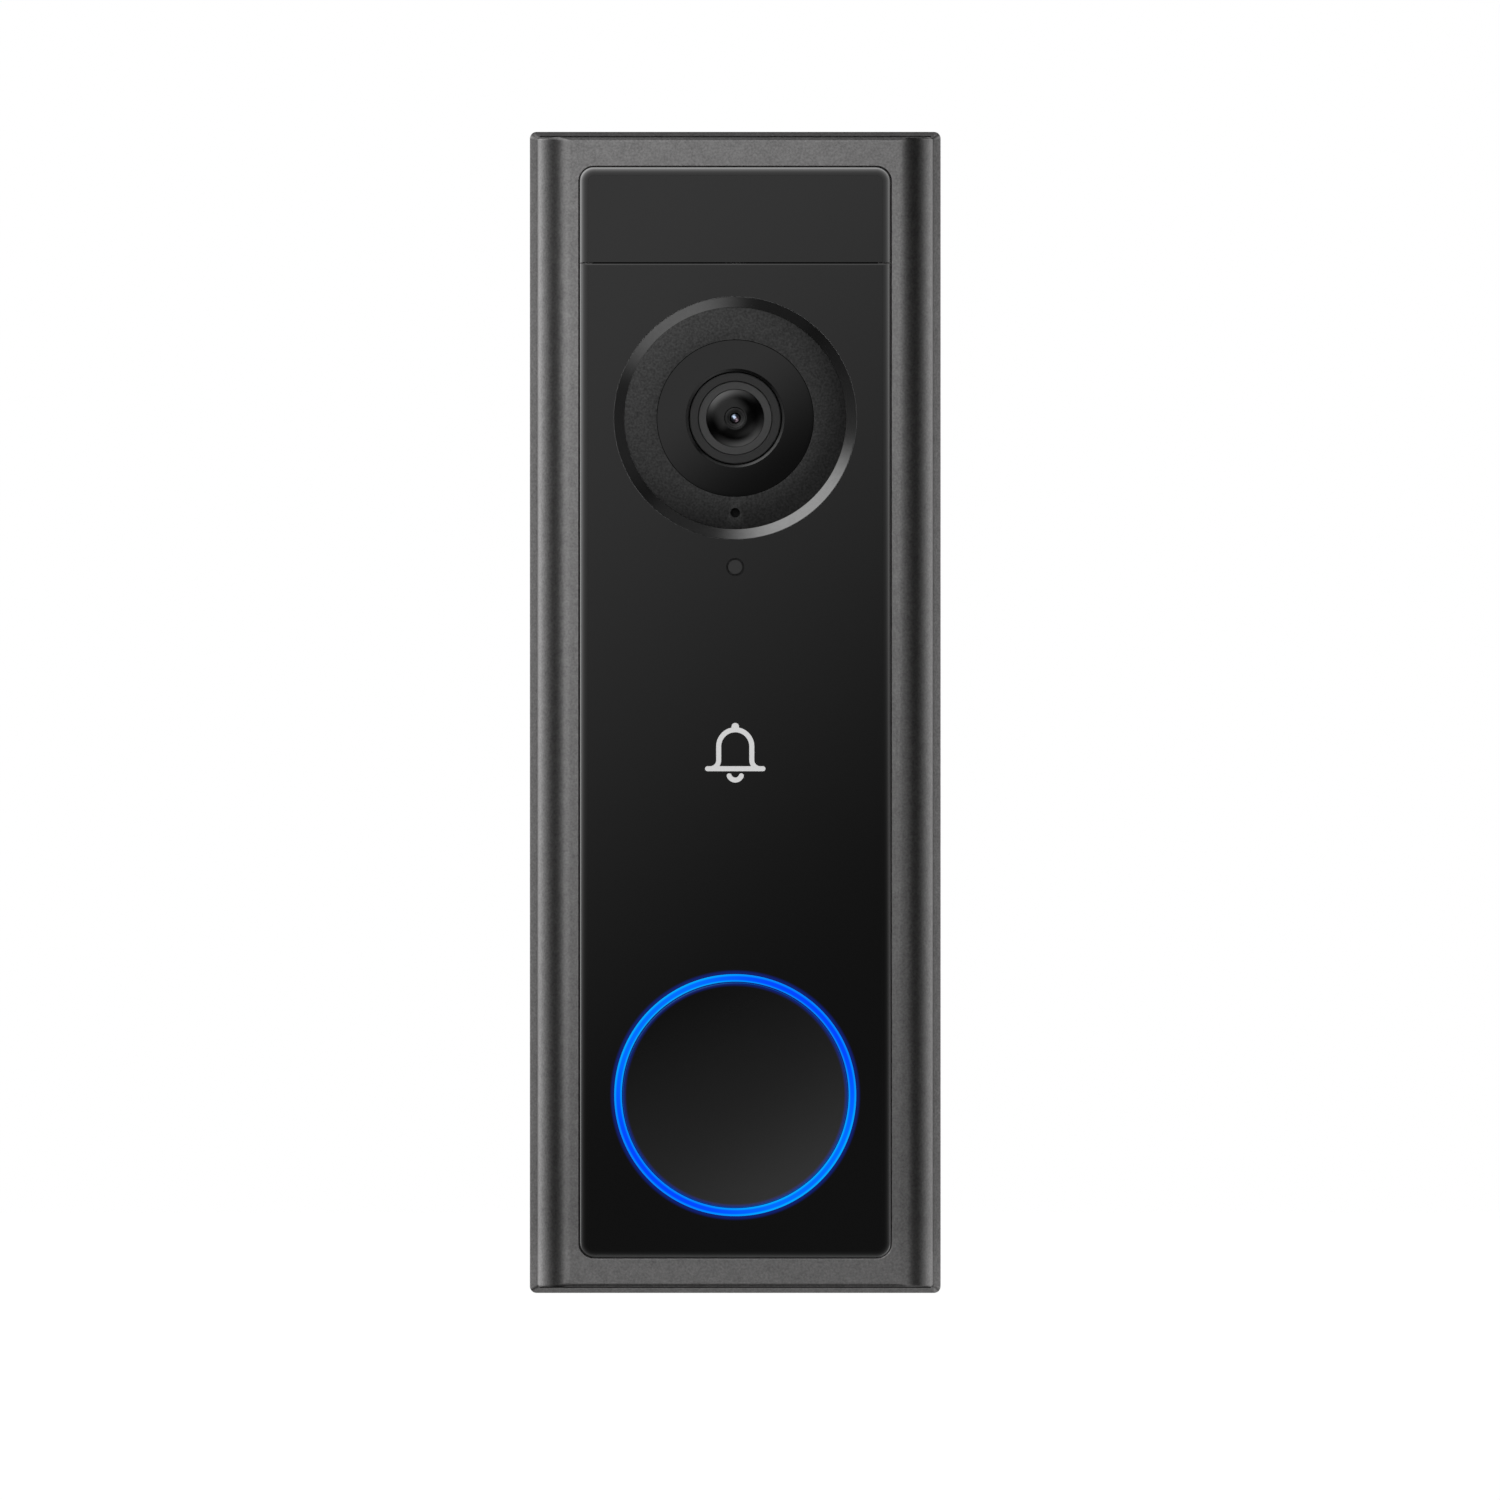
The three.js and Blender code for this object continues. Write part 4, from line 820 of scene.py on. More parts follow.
def build_lens():
    """The lens's two stepped rings, its dark dome with a hole in it, and the small lens inside."""
    front = box("lens_barrel")[0].y
    back = front + 5
    ring = turned_ring(BARREL_R, RETAINER_R + 0.05, front, back, 0.1, 0.07)
    place(turned("barrel_ring", ring, CAMERA_Z), BARREL_BLACK, "black_plastic", "lens_barrel")
    step = box("lens_retainer")[0].y
    ring = turned_ring(RETAINER_R, LENS_R + 0.04, step, back - 1, 0.06, 0.06)
    retainer = turned("retainer_ring", ring, CAMERA_Z)
    place(retainer, RETAINER_BLACK, "black_plastic", "lens_retainer")

    opening = 1.16
    profile = [point for point in dome(LENS_R, box("front_lens")[0].y, 8.4, 48) if point[0] >= opening]
    rim = profile[-1][1]
    inside = profile[0][1]
    glass = [(opening, rim + 1), (opening, inside + 0.03)] + profile[1:] + [(LENS_R, rim + 1)]
    place(turned("lens_dome", glass, CAMERA_Z), LENS_BLACK, "optics", "front_lens")

    holder = [
        (opening - 0.02, rim + 0.9), (opening - 0.02, inside + 0.05), (opening - 0.1, inside + 0.01),
        (0.86, inside + 0.05), (0.80, inside + 0.1), (0.76, inside + 0.3), (0.62, inside + 0.34),
        (0.62, rim + 0.9),
    ]
    place(turned("inner_holder", holder, CAMERA_Z, steps=96), HOLDER_BLACK, "black_plastic")
    pupil = dome(0.66, inside + 0.02, 0.78, 24) + [(0.66, rim + 0.8), (0, rim + 0.8)]
    place(turned("inner_glass", pupil, CAMERA_Z, steps=96), PUPIL_GLASS, "optics", "inner_lens")


def build_mic_cover():
    outline = circle(MIC_R + 0.1, 0, centre("microphone").z, 40)
    place(prism("mic_dust_cover", outline, "y", FACE_Y + 0.9, FACE_Y + 1.1), RUBBER, "rubber")


def build_light_sensor():
    """The small smoked dot under the camera, in its own thin surround."""
    dot_y = FRONT + PRINT + 0.08
    ring = [
        (DOT_R - 0.02, PANEL_BACK), (DOT_R - 0.02, dot_y + 0.02), (DOT_R - 0.04, dot_y),
        (0.86, dot_y), (0.86, PANEL_BACK),
    ]
    place(turned("dot_surround", ring, DOT_Z, steps=64), MOULDED, "black_plastic")
    lens = [
        (0, dot_y - 0.02), (0.78, dot_y - 0.02), (0.82, dot_y + 0.02), (0.82, PANEL_BACK), (0, PANEL_BACK),
    ]
    dot = turned("dot_window", lens, DOT_Z, steps=64)
    place(dot, DOT_SMOKE, "light_guide", "light_sensor_window")


def build_camera():
    carrier = box("camera_carrier")[0].y - 0.05
    build_trim(carrier)
    build_face_ring(carrier)
    build_ir_window(carrier)
    build_lens()
    build_mic_cover()
    build_light_sensor()


# ---- Bell pictogram ----

def stroke(points, width):
    """A flat line of even width along a path of (x, z), as an outline."""
    left, right = [], []
    for i, point in enumerate(points):
        before, after = points[max(i - 1, 0)], points[min(i + 1, len(points) - 1)]
        along = (Vector(after) - Vector(before)).normalized()
        side = Vector((-along.y, along.x)) * (width / 2)
        left.append(tuple(Vector(point) + side))
        right.append(tuple(Vector(point) - side))
    return left + right[::-1]


def build_pictogram():
    """A plain bell outline printed on the panel: a dome over a flared skirt, a rim and a clapper."""
    width = 0.56
    half, shoulder, foot = 1.85, 0.6, -1.9
    flare = arc(half + 0.95, foot + 0.95, 0.95, 180, 262, 10)
    right_side = arc(0, shoulder, half, 90, 0, 24) + flare
    left_side = [(-x, z) for x, z in right_side[::-1]]
    skirt = left_side + right_side[1:]
    rim = [(-half - 1.25, foot), (half + 1.25, foot)]
    clapper = arc(0, foot - 0.55, 0.72, 200, 340, 16)
    shapes = [stroke(skirt, width), stroke(rim, width), stroke(clapper, width)]
    for x, z in (rim[0], rim[1], clapper[0], clapper[-1]):
        shapes.append(circle(width / 2, x, z, 24))
    shapes.append(circle(0.42, 0, shoulder + half + 0.35, 32))
    front, back = FRONT + 0.005, FRONT + PRINT + 0.2
    parts = []
    for i, shape in enumerate(shapes):
        parts.append(prism(f"mark_{i}", shifted(shape, 0, MARK_Z), "y", front, back))
    mark = join(parts[0], *parts[1:])
    mark.name = "bell_pictogram"
    place(mark, PRINT_GREY, "light_guide")


# ---- Bell button ----

def build_button():
    back = box("light_ring")[1].y
    flange_r = radius("light_ring")
    y = FRONT + PRINT
    ring = [
        (RING_IN_R + 0.03, y + 0.08), (RING_IN_R + 0.11, y), (RING_OUT_R - 0.08, y),
        (RING_OUT_R, y + 0.08), (RING_OUT_R, PANEL_BACK + 0.1), (flange_r, PANEL_BACK + 0.1),
        (flange_r, back), (RING_IN_R + 0.03, back),
    ]
    place(turned("lit_ring", ring, BUTTON_Z, steps=192), RING_GLOW, "light_guide", "light_ring")

    post_end = box("switch_plunger")[0].y - 0.05
    r = RING_IN_R - 0.12
    curve = (r * r + DISH * DISH) / (2 * DISH)
    profile = []
    steps = 24
    for i in range(steps + 1):
        t = (r - 0.12) * i / steps
        profile.append((t, y + DISH - (curve - math.sqrt(curve * curve - t * t))))
    lip_r = radius("button_cap")
    lip_front, lip_back = CAVITY_FRONT + 0.1, CAVITY_FRONT + 0.8
    profile += [
        (r - 0.03, y + 0.06), (r, y + 0.14), (r, lip_front), (lip_r, lip_front), (lip_r, lip_back),
        (r - 1.2, lip_back), (r - 1.2, FRONT + 2), (1.8, FRONT + 2), (1.8, post_end), (0, post_end),
    ]
    cap = turned("dished_cap", profile, BUTTON_Z, steps=160)
    place(cap, CAP_GLOSS, "gloss_black", "button_cap", body="bell_button")
    build_return_pad()


def build_return_pad():
    """The silicone cone behind the cap. In the real doorbell it is squeezed as the button goes in; here it
    is built at rest, with a mesh of its own.
    """
    low, high = box("button_return_pad")
    r = radius("button_return_pad")
    wall, lean = 1.0, 1.1
    middle_r, middle_y = r - lean / 2 + 0.12, (low.y + high.y) / 2
    profile = [
        (r - lean - wall, low.y), (r - lean, low.y), (middle_r, middle_y), (r, high.y - 0.15),
        (r, high.y), (r - wall, high.y), (middle_r - wall, middle_y),
    ]
    pad = turned("return_pad", profile, BUTTON_Z, steps=96)
    place(pad, SILICONE, "silicone", "button_return_pad")
    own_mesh(pad)


# ---- Rear cover, terminals and USB port ----

def turned_tool(name, profile, x, z, steps=48):
    return turned(name, profile, z, cx=x, steps=steps)


def screw_hole(name, x, z, back, front):
    """Cutting shape of a screw hole with a flat counterbore, both with broken edges."""
    head, shank, deep = 2.1, 1.2, 1.0
    profile = [
        (0, front - 1), (shank, front - 1), (shank, back - deep), (head, back - deep),
        (head, back - EDGE), (head + 2 * EDGE, back + EDGE), (0, back + EDGE),
    ]
    return turned_tool(name, profile, x, z)


def flared(name, half_x, half_z, r, x, z, front, back):
    """Cutting shape of a rounded hole whose back edge is broken."""
    edge, past = 0.15, 0.45
    loops = [
        (half_x, half_z, r, front - 1), (half_x, half_z, r, back - edge),
        (half_x + edge, half_z + edge, r + edge, back),
        (half_x + past, half_z + past, r + past, back + 2 * edge),
    ]
    return moved(loft(name, loops), x, z)


def hook(name, x, bar_y, bar_z, start):
    """One of the rear cover's hooks: it reaches over the bar and a little down its wall side."""
    drop = bar_z - 0.4
    outline = [(start, bar_z + HOOK_OUTER_R)] + arc(bar_y, bar_z, HOOK_OUTER_R, 90, 0, 16)
    outline += [(bar_y + HOOK_OUTER_R, drop), (bar_y + HOOK_INNER_R, drop)]
    outline += arc(bar_y, bar_z, HOOK_INNER_R, 0, 180, 20) + [(start, bar_z)]
    return bevelled(prism(name, outline, "x", x - HOOK_HALF, x + HOOK_HALF), EDGE, 2)


def rear_cover_tools(front, back):
    """Cutting shapes of the cover's screw holes, terminal window, USB recess and sync hole."""
    tools = []
    for i in range(1, 7):
        screw = centre(f"cover_screw_{i}")
        tools.append(screw_hole(f"screw_hole_{i}", screw.x, screw.z, back, front))
    block_low, block_high = box("terminal_block")
    block_x, block_z = block_high.x + 0.3, (block_high.z - block_low.z) / 2 + 0.3
    block_middle = centre("terminal_block").z
    tools.append(flared("block_hole", block_x, block_z, 0.4, 0, block_middle, front, back))
    usb_z = centre("usb_port").z
    tools.append(flared("usb_hole", *USB_HOLE, 0, usb_z, front, back))
    recess = [(*USB_RECESS, back - USB_RECESS_DEEP), (*USB_RECESS, back + 1)]
    tools.append(moved(loft("usb_recess", recess), 0, usb_z))
    hole = [
        (0, front - 1), (SYNC_HOLE_R, front - 1), (SYNC_HOLE_R, back - 0.15),
        (SYNC_HOLE_R + 0.3, back + 0.15), (0, back + 0.15),
    ]
    tools.append(turned_tool("sync_hole", hole, 0, centre("sync_button").z))
    return tools


def build_rear_cover():
    low, high = box("rear_cover")
    front, back = low.y, low.y + COVER_THICK
    half_x, half_z = high.x, -low.z
    loops = [
        (half_x - 0.15, half_z - 0.15, 0.8, front), (half_x, half_z, 0.9, front + 0.15),
        (half_x, half_z, 0.9, back - 0.2), (half_x - 0.2, half_z - 0.2, 0.75, back),
    ]
    cover = loft("rear_shell", loops, smooth=50)
    bar = centre("hang_bar")
    join(cover, *[hook(f"hook_{side}", side * HOOK_X, bar.y, bar.z, back - 0.3) for side in (-1, 1)])
    flat_faces(cut(cover, *rear_cover_tools(front, back)))
    place(cover, MOULDED, "black_plastic", "rear_cover")


def terminal_tools(front, back, middle_z, low_z):
    """Cutting shapes of the block's two screw wells, two wire ways and the groove between them."""
    tools = []
    for side in ("left", "right"):
        x = centre(f"terminal_screw_{side}").x
        well = [
            (0, front + 1), (CLAMP_HOLE_R, front + 1), (CLAMP_HOLE_R, back - 0.1),
            (CLAMP_HOLE_R + 0.2, back + 0.1), (0, back + 0.1),
        ]
        tools.append(turned_tool(f"well_{side}", well, x, middle_z))
        way = shifted(rounded_rect(1.5, 1.6, 0.4), x, low_z)
        tools.append(prism(f"wire_way_{side}", way, "y", back - 1.6, back + 1))
    groove = prism("divider_groove", rounded_rect(0.5, 9, 0.1), "y", back - 0.8, back + 1)
    tools.append(moved(groove, 0, middle_z))
    return tools


def build_terminals():
    low, high = box("terminal_block")
    middle_z = centre("terminal_block").z
    half_x, half_z = high.x, (high.z - low.z) / 2
    loops = [
        (half_x, half_z, 0.3, low.y), (half_x, half_z, 0.3, high.y - 0.2),
        (half_x - 0.2, half_z - 0.2, 0.2, high.y),
    ]
    body = moved(loft("terminal_body", loops), 0, middle_z)
    flat_faces(cut(body, *terminal_tools(low.y, high.y, middle_z, low.z)))
    place(body, TERMINAL_BLACK, "black_plastic", "terminal_block")
    for side in ("left", "right"):
        build_washer(side, middle_z)
        build_terminal_screw(side, middle_z)


def build_washer(side, z):
    low, high = box(f"terminal_washer_{side}")
    x, half = (low.x + high.x) / 2, (high.x - low.x) / 2
    loops = [
        (half - EDGE, half - EDGE, 0.5, low.y), (half, half, 0.6, low.y + EDGE),
        (half, half, 0.6, high.y - EDGE), (half - EDGE, half - EDGE, 0.5, high.y),
    ]
    plate = moved(loft(f"clamp_washer_{side}", loops), x, z)
    hole = [(0, low.y - 1), (CLAMP_HOLE_R, low.y - 1), (CLAMP_HOLE_R, high.y + 1), (0, high.y + 1)]
    flat_faces(cut(plate, turned_tool(f"washer_hole_{side}", hole, x, z)))
    place(plate, BRASS, "brass", f"terminal_washer_{side}")


def build_terminal_screw(side, z):
    """A pan head with a long slot and a short one across it, on a threaded shank."""
    name = f"terminal_screw_{side}"
    low, high = box(name)
    x, head = (low.x + high.x) / 2, (high.x - low.x) / 2
    seat = high.y - 1.2
    root = CLAMP_SHANK_R - 0.2
    profile = [(0, low.y)]
    for i in range(CLAMP_TURNS):
        y = low.y + 0.3 + i * CLAMP_PITCH
        profile += [(root, y), (CLAMP_SHANK_R, y + CLAMP_PITCH / 2)]
    profile += [(root, seat), (head - 0.08, seat), (head, seat + 0.08)]
    profile += arc(head - 0.5, high.y - 0.5, 0.5, 0, 60, 8) + [(head * 0.4, high.y - 0.01), (0, high.y)]
    screw = turned(f"clamp_screw_{side}", profile, z, cx=x, steps=96)
    slots = []
    for kind, half_x, half_z in (("long", 3, 0.36), ("short", 0.36, 1.6)):
        outline = shifted(rounded_rect(half_x, half_z, 0.1), x, z)
        slots.append(prism(f"{kind}_slot_{side}", outline, "y", high.y - CLAMP_SLOT_DEEP, high.y + 1))
    flat_faces(cut(screw, *slots))
    place(screw, STEEL, "steel", name, body=f"{side}_terminal")


def build_usb():
    """The port's steel shell with its tongue and two rows of contacts."""
    low, high = box("usb_port")
    z = (low.z + high.z) / 2
    hx, hz = high.x, (high.z - low.z) / 2
    inner_x, inner_z = hx - 0.3, hz - 0.35
    floor_y = low.y + 1.2
    loops = [
        (hx, hz, 1.5, low.y), (hx, hz, 1.5, high.y - 0.08), (hx - 0.1, hz - 0.1, 1.45, high.y),
        (inner_x + 0.08, inner_z + 0.08, 1.25, high.y), (inner_x, inner_z, 1.2, high.y - EDGE),
        (inner_x, inner_z, 1.2, floor_y), (0.5, 0.5, 0.3, floor_y), (0.5, 0.5, 0.3, low.y),
    ]
    shell = moved(loft("usb_shell", loops, closed=True), 0, z)
    place(shell, STEEL, "steel", "usb_port")
    outline = shifted(rounded_rect(3.3, 0.35, 0.12), 0, z)
    tongue = bevelled(prism("usb_tongue", outline, "y", low.y + 1.0, high.y - 0.4), 0.06, 2)
    place(tongue, CHIP, "chip")
    contacts = []
    for i in range(-5, 6):
        for side in (-1, 1):
            strip = shifted(rounded_rect(0.13, 0.03, 0.01, 2), i * 0.5, z + side * 0.37)
            contacts.append(prism(f"contact_{i}_{side}", strip, "y", low.y + 1.4, high.y - 0.8))
    rows = join(contacts[0], *contacts[1:])
    rows.name = "usb_contacts"
    place(rows, BRASS, "brass")


def build_usb_cover():
    """The rubber lid: a soft rounded plate with a dished back, a plug, and a strap at its +X end."""
    low, high = box("usb_cover")
    half_x, half_z = -low.x, (high.z - low.z) / 2
    front = high.y - 1
    loops = [(half_x - 0.1, half_z - 0.1, 1.9, front), (half_x, half_z, 2, front + 0.1)]
    steps = 6
    for i in range(steps + 1):
        t = math.radians(90 * i / steps)
        inset = LID_ROUND * (1 - math.cos(t))
        y = high.y - LID_ROUND + LID_ROUND * math.sin(t)
        loops.append((half_x - inset, half_z - inset, 2 - inset, y))
    for inset, r, drop in ((1.3, 1.2, 0), (1.5, 1.1, 0.18), (2.4, 0.5, 0.2)):
        loops.append((half_x - inset, half_z - inset, r, high.y - drop))
    lid = loft("usb_lid", loops)
    outline = rounded_rect((high.x - half_x) / 2 + 0.5, 1.2, 0.3)
    strap = bevelled(prism("strap", outline, "y", front, high.y - 0.2), EDGE, 2)
    moved(strap, (half_x + high.x) / 2 - 0.5, 0)
    plug = [(4.7, 1.9, 1.1, low.y), (4.97, 2.13, 1.2, low.y + 0.2), (4.97, 2.13, 1.2, front + 0.1)]
    join(lid, strap, loft("plug", plug))
    moved(lid, 0, (low.z + high.z) / 2)
    flat_faces(lid)
    place(lid, RUBBER, "rubber", "usb_cover", body="usb_flap")


def build_sync_button():
    """A dished rubber cap with a flange inside the rear cover, which holds it in."""
    low, high = box("sync_button")
    z = (low.z + high.z) / 2
    r, flange = SYNC_CAP_R, radius("sync_button")
    cover_front = box("rear_cover")[0].y - 0.05
    flange_y = cover_front - 0.7
    steps = 12
    profile = [(1.5 * i / steps, high.y - 0.25 + 0.25 * (i / steps) ** 2) for i in range(steps + 1)]
    profile += [(r - 0.35, high.y)] + arc(r - 0.25, high.y - 0.25, 0.25, 80, 0, 8)
    profile += [(r, cover_front), (flange, cover_front), (flange, flange_y), (1, flange_y)]
    profile += [(1, low.y), (0, low.y)]
    cap = turned("sync_cap", profile, z, steps=96)
    place(cap, RUBBER, "rubber", "sync_button", body="sync_key")


# ---- Wall bracket ----

def wall_screw_hole(x, z):
    """Cutting shape of a countersunk hole for a 4 mm screw, open towards the doorbell."""
    profile = [(0, -25), (4.2, -25), (4.2, -2), (2.3, -0.5), (2.3, -0.15), (2.6, 0.15), (0, 0.15)]
    return turned_tool("wall_screw_hole", profile, x, z, steps=64)


def wall_pocket(x, z, half_x, half_z):
    """Cutting shape of a shallow moulded pocket in the wall face."""
    shape = ((-0.2, 1.0, -0.7), (0, 1.2, -0.5), (0, 1.2, -0.1), (0.2, 1.4, 0.1))
    loops = [(half_x + grow, half_z + grow, r, y) for grow, r, y in shape]
    return moved(loft("wall_pocket", loops), x, z)


def bracket_ear(side, bar):
    """A lug on the bracket that holds one end of the bar."""
    root = -0.2
    foot = bar.z - 2.4
    outline = [(root, foot), (bar.y - 1.1, foot)]
    outline += arc(bar.y, bar.z, EAR_R, 180, 90, 14) + [(root, bar.z + EAR_R)]
    return bevelled(prism("ear", outline, "x", *sorted(side * x for x in EAR_X)), 0.15, 2)


def bracket_rib(side):
    outline = shifted(rounded_rect(0.6, 48.7, 0.3), side * RIB_X, -11.5)
    return prism("rib", outline, "y", -BRACKET_THICK - 0.9, -1)


def build_bracket():
    """The wall plate with its ribs, lugs, wire window, screw holes and moulded pockets."""
    low, high = box("wall_bracket")
    half_x, half_z = high.x, -low.z
    front = -BRACKET_THICK
    shape = ((0.3, 2.3, 0), (0.08, 2.5, -0.08), (0, 2.5, -0.3), (0, 2.5, front + 0.3), (0.3, 2.3, front))
    loops = [(half_x - inset, half_z - inset, r, y) for inset, r, y in shape]
    plate = loft("bracket_plate", loops, smooth=50)
    bar = centre("hang_bar")
    join(plate, *[bracket_rib(side) for side in (-1, 1)])
    notch = shifted(rounded_rect(EAR_X[0], 4, 1.2), 0, bar.z + 1.6)
    middle, half = (WIRE_WINDOW_LOW + WIRE_WINDOW_TOP) / 2, (WIRE_WINDOW_TOP - WIRE_WINDOW_LOW) / 2
    tools = [
        prism("notch", notch, "y", -25, 1),
        flared("wire_window", WIRE_WINDOW_HALF, half, 2, 0, middle, -24, 0),
    ]
    tools += [wall_screw_hole(x, z) for x, z in WALL_SCREWS]
    for side in (-1, 1):
        tools += [wall_pocket(side * x, z, across, up) for x, z, across, up in WALL_POCKETS]
    cut(plate, *tools)
    join(plate, *[bracket_ear(side, bar) for side in (-1, 1)])
    cut(plate, prism("bar_room", circle(0.92, bar.y, bar.z, 32), "x", -17, 17))
    flat_faces(plate)
    place(plate, BRACKET, "bracket_plastic", "wall_bracket", body="wall_bracket")


def build_hang_bar():
    low, high = box("hang_bar")
    bar = (low + high) / 2
    r = (high.z - low.z) / 2
    rings = []
    for x, grow in ((low.x, -0.2), (low.x + 0.2, 0), (high.x - 0.2, 0), (high.x, -0.2)):
        rings.append([(x, y, z) for y, z in circle(r + grow, bar.y, bar.z, 48)])
    rod = to_object("steel_bar", rings_mesh(rings, False))
    place(rod, STEEL, "steel", "hang_bar", body="wall_bracket")


# ---- Studio ----

def sheet(name, corners):
    """One flat face through its corners, in millimetres."""
    bm = bmesh.new()
    bm.faces.new([bm.verts.new(Vector(corner) * MM) for corner in corners])
    return mesh_object(name, bm)


def card(name, corners, level):
    """A soft light box: a flat sheet of light, unseen by the camera. level gives its brightness."""
    light = sheet(name, corners)
    material = bpy.data.materials.new(name)
    material.use_nodes = True
    material.node_tree.nodes.clear()
    nodes = Nodes(material.node_tree)
    glow = nodes.add("ShaderNodeEmission", (1, 1, 1, 1))
    nodes.put(glow.inputs["Strength"], level(nodes, *nodes.xyz()))
    clear = nodes.add("ShaderNodeBsdfTransparent")
    both = nodes.add("ShaderNodeAddShader", glow.outputs[0], clear.outputs[0])
    output = nodes.add("ShaderNodeOutputMaterial")
    nodes.put(output.inputs["Surface"], both.outputs[0])
    light.data.materials.append(material)
    light.visible_camera = False
    light.visible_shadow = False


def flat_card(name, axis, at, u, v, level):
    """A card square to an axis, with its spans along the two other axes."""
    around = ((u[0], v[0]), (u[1], v[0]), (u[1], v[1]), (u[0], v[1]))
    card(name, [AXES[axis](a, b, at) for a, b in around], level)


def soft(nodes, value, dark_at, bright_at, low=0.0, high=1.0):
    """A smooth step over a distance in millimetres."""
    return nodes.ramp(value, dark_at * MM, bright_at * MM, low, high, smooth=True)


def front_level(nodes, x, y, z):
    """Brighter to the upper left, dim past the middle, and fading out on every side."""
    slope = nodes.lean(x, z, -0.606, 0.795)
    cross = nodes.lean(x, z, 0.829, 0.559)
    upper = soft(nodes, slope, -40.1, 70.7, 0.12, 0.87)
    lower = soft(nodes, slope, -130, -250, 0.0, 0.42)
    aside = soft(nodes, nodes.math("ABSOLUTE", cross), 320, 110)
    both = nodes.math("ADD", upper, lower)
    return nodes.product(both, aside, soft(nodes, z, 560, 300), soft(nodes, z, -290, -150))


def side_level(dark_y, bright_y, brightest, below, above):
    """Level of a card beside the doorbell: it grows towards the wall, and is brighter above."""
    def level(nodes, x, y, z):
        fade = soft(nodes, nodes.math("ABSOLUTE", z), 420, 240)
        depth = soft(nodes, y, dark_y, bright_y, 0.012, brightest)
        return nodes.product(depth, nodes.ramp(z, -0.2, 0.2, below, above), fade)

    return level


def top_level(nodes, x, y, z):
    return nodes.product(soft(nodes, y, 180, 20, 0.02, 0.40), soft(nodes, y, -160, 0, 0.05, 1.0))


def bottom_level(nodes, x, y, z):
    return nodes.product(soft(nodes, y, -50, 10, 0.01, 0.30), soft(nodes, y, 300, 150))


def back_level(nodes, x, y, z):
    return soft(nodes, nodes.math("ABSOLUTE", z), 500, 200, 0.1, 0.7)


def round_card(name, azimuth, elevation, distance, size, level):
    """A round soft box in a direction from the doorbell, bright in its middle."""
    a, e = math.radians(azimuth), math.radians(elevation)
    out = Vector((math.sin(a) * math.cos(e), -math.cos(a) * math.cos(e), math.sin(e)))
    middle = out * distance
    side = out.cross(Vector((0, 0, 1))).normalized()
    up = side.cross(out)
    around = ((-1, -1), (1, -1), (1, 1), (-1, 1))
    corners = [middle + side * (size * u) + up * (size * v) for u, v in around]

    def glow(nodes, x, y, z):
        away = nodes.add("ShaderNodeVectorMath", nodes.place(), tuple(middle * MM), operation="DISTANCE")
        return soft(nodes, away.outputs["Value"], size, size * 0.25, 0.0, level)

    card(name, corners, glow)


def build_lights():
    wall, deep, tall = 450, (-700, 600), (-500, 500)
    flat_card("front_light", "y", FRONT - 500, (-500, 500), (-320, 580), front_level)
    flat_card("left_light", "x", -wall, deep, tall, side_level(-275, 425, 0.95, 0.55, 1.45))
    flat_card("right_light", "x", wall, deep, tall, side_level(-235, 310, 0.58, 0.8, 1.2))
    flat_card("top_light", "z", 460, (-400, 400), (-700, 500), top_level)
    flat_card("bottom_light", "z", -460, (-400, 400), (-400, 400), bottom_level)
    flat_card("back_light", "y", 600, (-440, 440), tall, back_level)
    round_card("key_light", -49, 48.2, 440, 350, 0.56)
    round_card("low_light", 49, -48.2, 440, 350, 0.2)


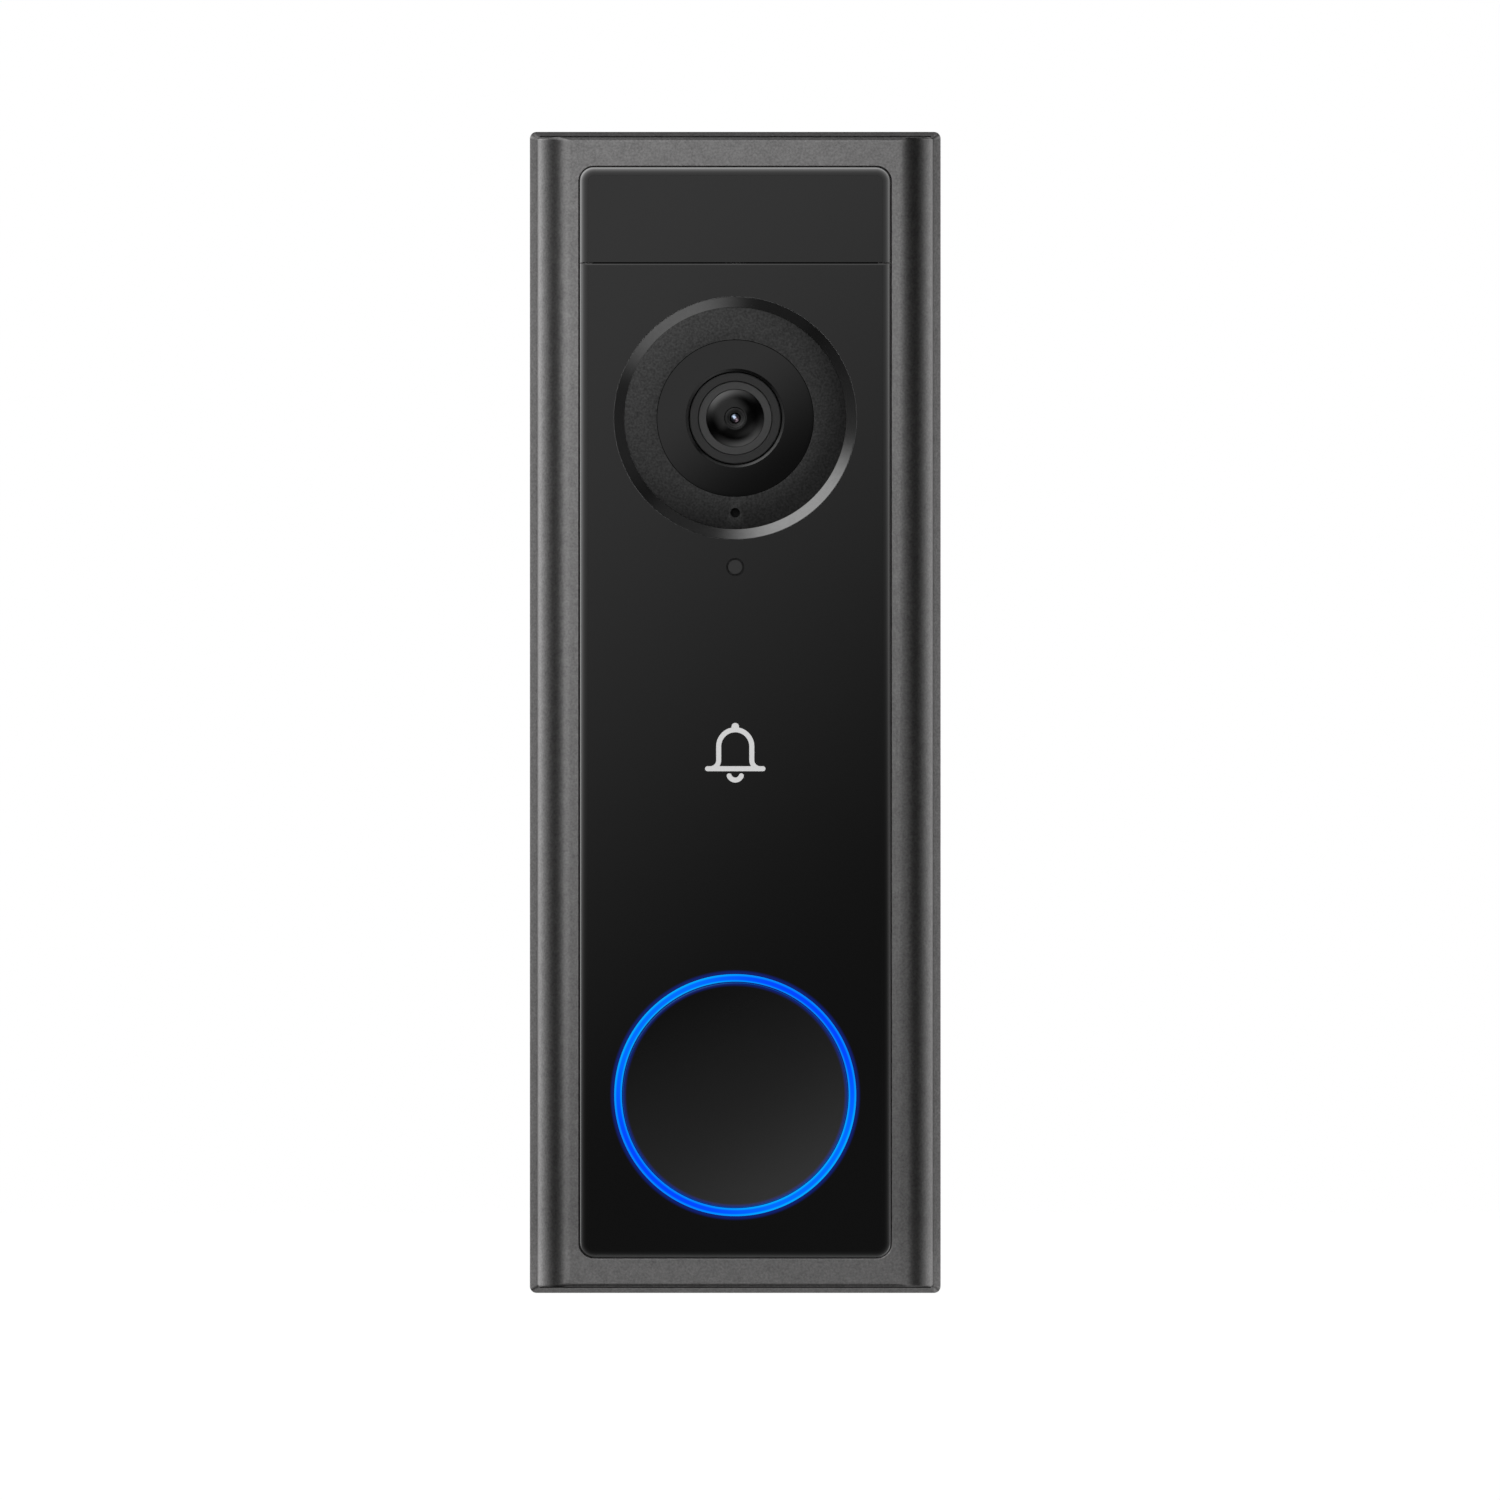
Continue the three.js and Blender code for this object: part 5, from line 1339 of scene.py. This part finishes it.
def build_world():
    """Plain white to the camera, and a faint even fill for everything else."""
    world = bpy.data.worlds.new("studio")
    bpy.context.scene.world = world
    world.use_nodes = True
    tree = world.node_tree
    tree.nodes.clear()
    nodes = Nodes(tree)
    fill = nodes.add("ShaderNodeBackground", (1, 1, 1, 1), 0.012)
    plain = nodes.add("ShaderNodeBackground", (1, 1, 1, 1), 1.0)
    seen = nodes.add("ShaderNodeLightPath").outputs["Is Camera Ray"]
    shown = nodes.add("ShaderNodeMixShader", seen, fill.outputs[0], plain.outputs[0])
    output = nodes.add("ShaderNodeOutputWorld")
    nodes.put(output.inputs["Surface"], shown.outputs[0])


def build_floor():
    """A plain pale floor under the doorbell, clear when it is seen from below."""
    half, drop = 6000, -160
    floor = sheet("floor", [(x * half, y * half, drop) for x, y in ((-1, -1), (1, -1), (1, 1), (-1, 1))])
    material, nodes = surface("floor_white", Roughness=0.9, Emission_Strength=1.0)
    nodes.set("Base Color", (0.9, 0.9, 0.9, 1))
    nodes.set("Emission Color", (1, 1, 1, 1))
    below = nodes.add("ShaderNodeNewGeometry").outputs["Backfacing"]
    clear = nodes.add("ShaderNodeBsdfTransparent").outputs[0]
    shown = nodes.add("ShaderNodeMixShader", below, nodes.shader.outputs[0], clear)
    nodes.put(material.node_tree.nodes["Material Output"].inputs["Surface"], shown.outputs[0])
    floor.data.materials.append(material)
    floor.visible_glossy = False
    floor.visible_diffuse = False
    floor.visible_transmission = False


FRAME_SPAN = 167.7  # width of the picture at the doorbell's face
CAMERA_X = 1.65
CAMERA_HEIGHT = -4.21
CAMERA_DISTANCE = 3000.0


def build_camera_view():
    data = bpy.data.cameras.new("camera")
    data.sensor_width = 36
    data.lens = data.sensor_width * CAMERA_DISTANCE / FRAME_SPAN
    data.clip_end = 100
    camera = linked("camera", data)
    camera.location = Vector((CAMERA_X, FRONT - CAMERA_DISTANCE, CAMERA_HEIGHT)) * MM
    camera.rotation_euler = (math.radians(90), 0, 0)
    bpy.context.scene.camera = camera


finish_cad_nodes()
build_housing()
build_panels()
build_camera()
build_button()
build_pictogram()
build_rear_cover()
build_terminals()
build_usb()
build_usb_cover()
build_sync_button()
build_bracket()
build_hang_bar()
build_floor()
build_lights()
build_world()
build_camera_view()
bpy.context.scene.view_settings.view_transform = "Standard"
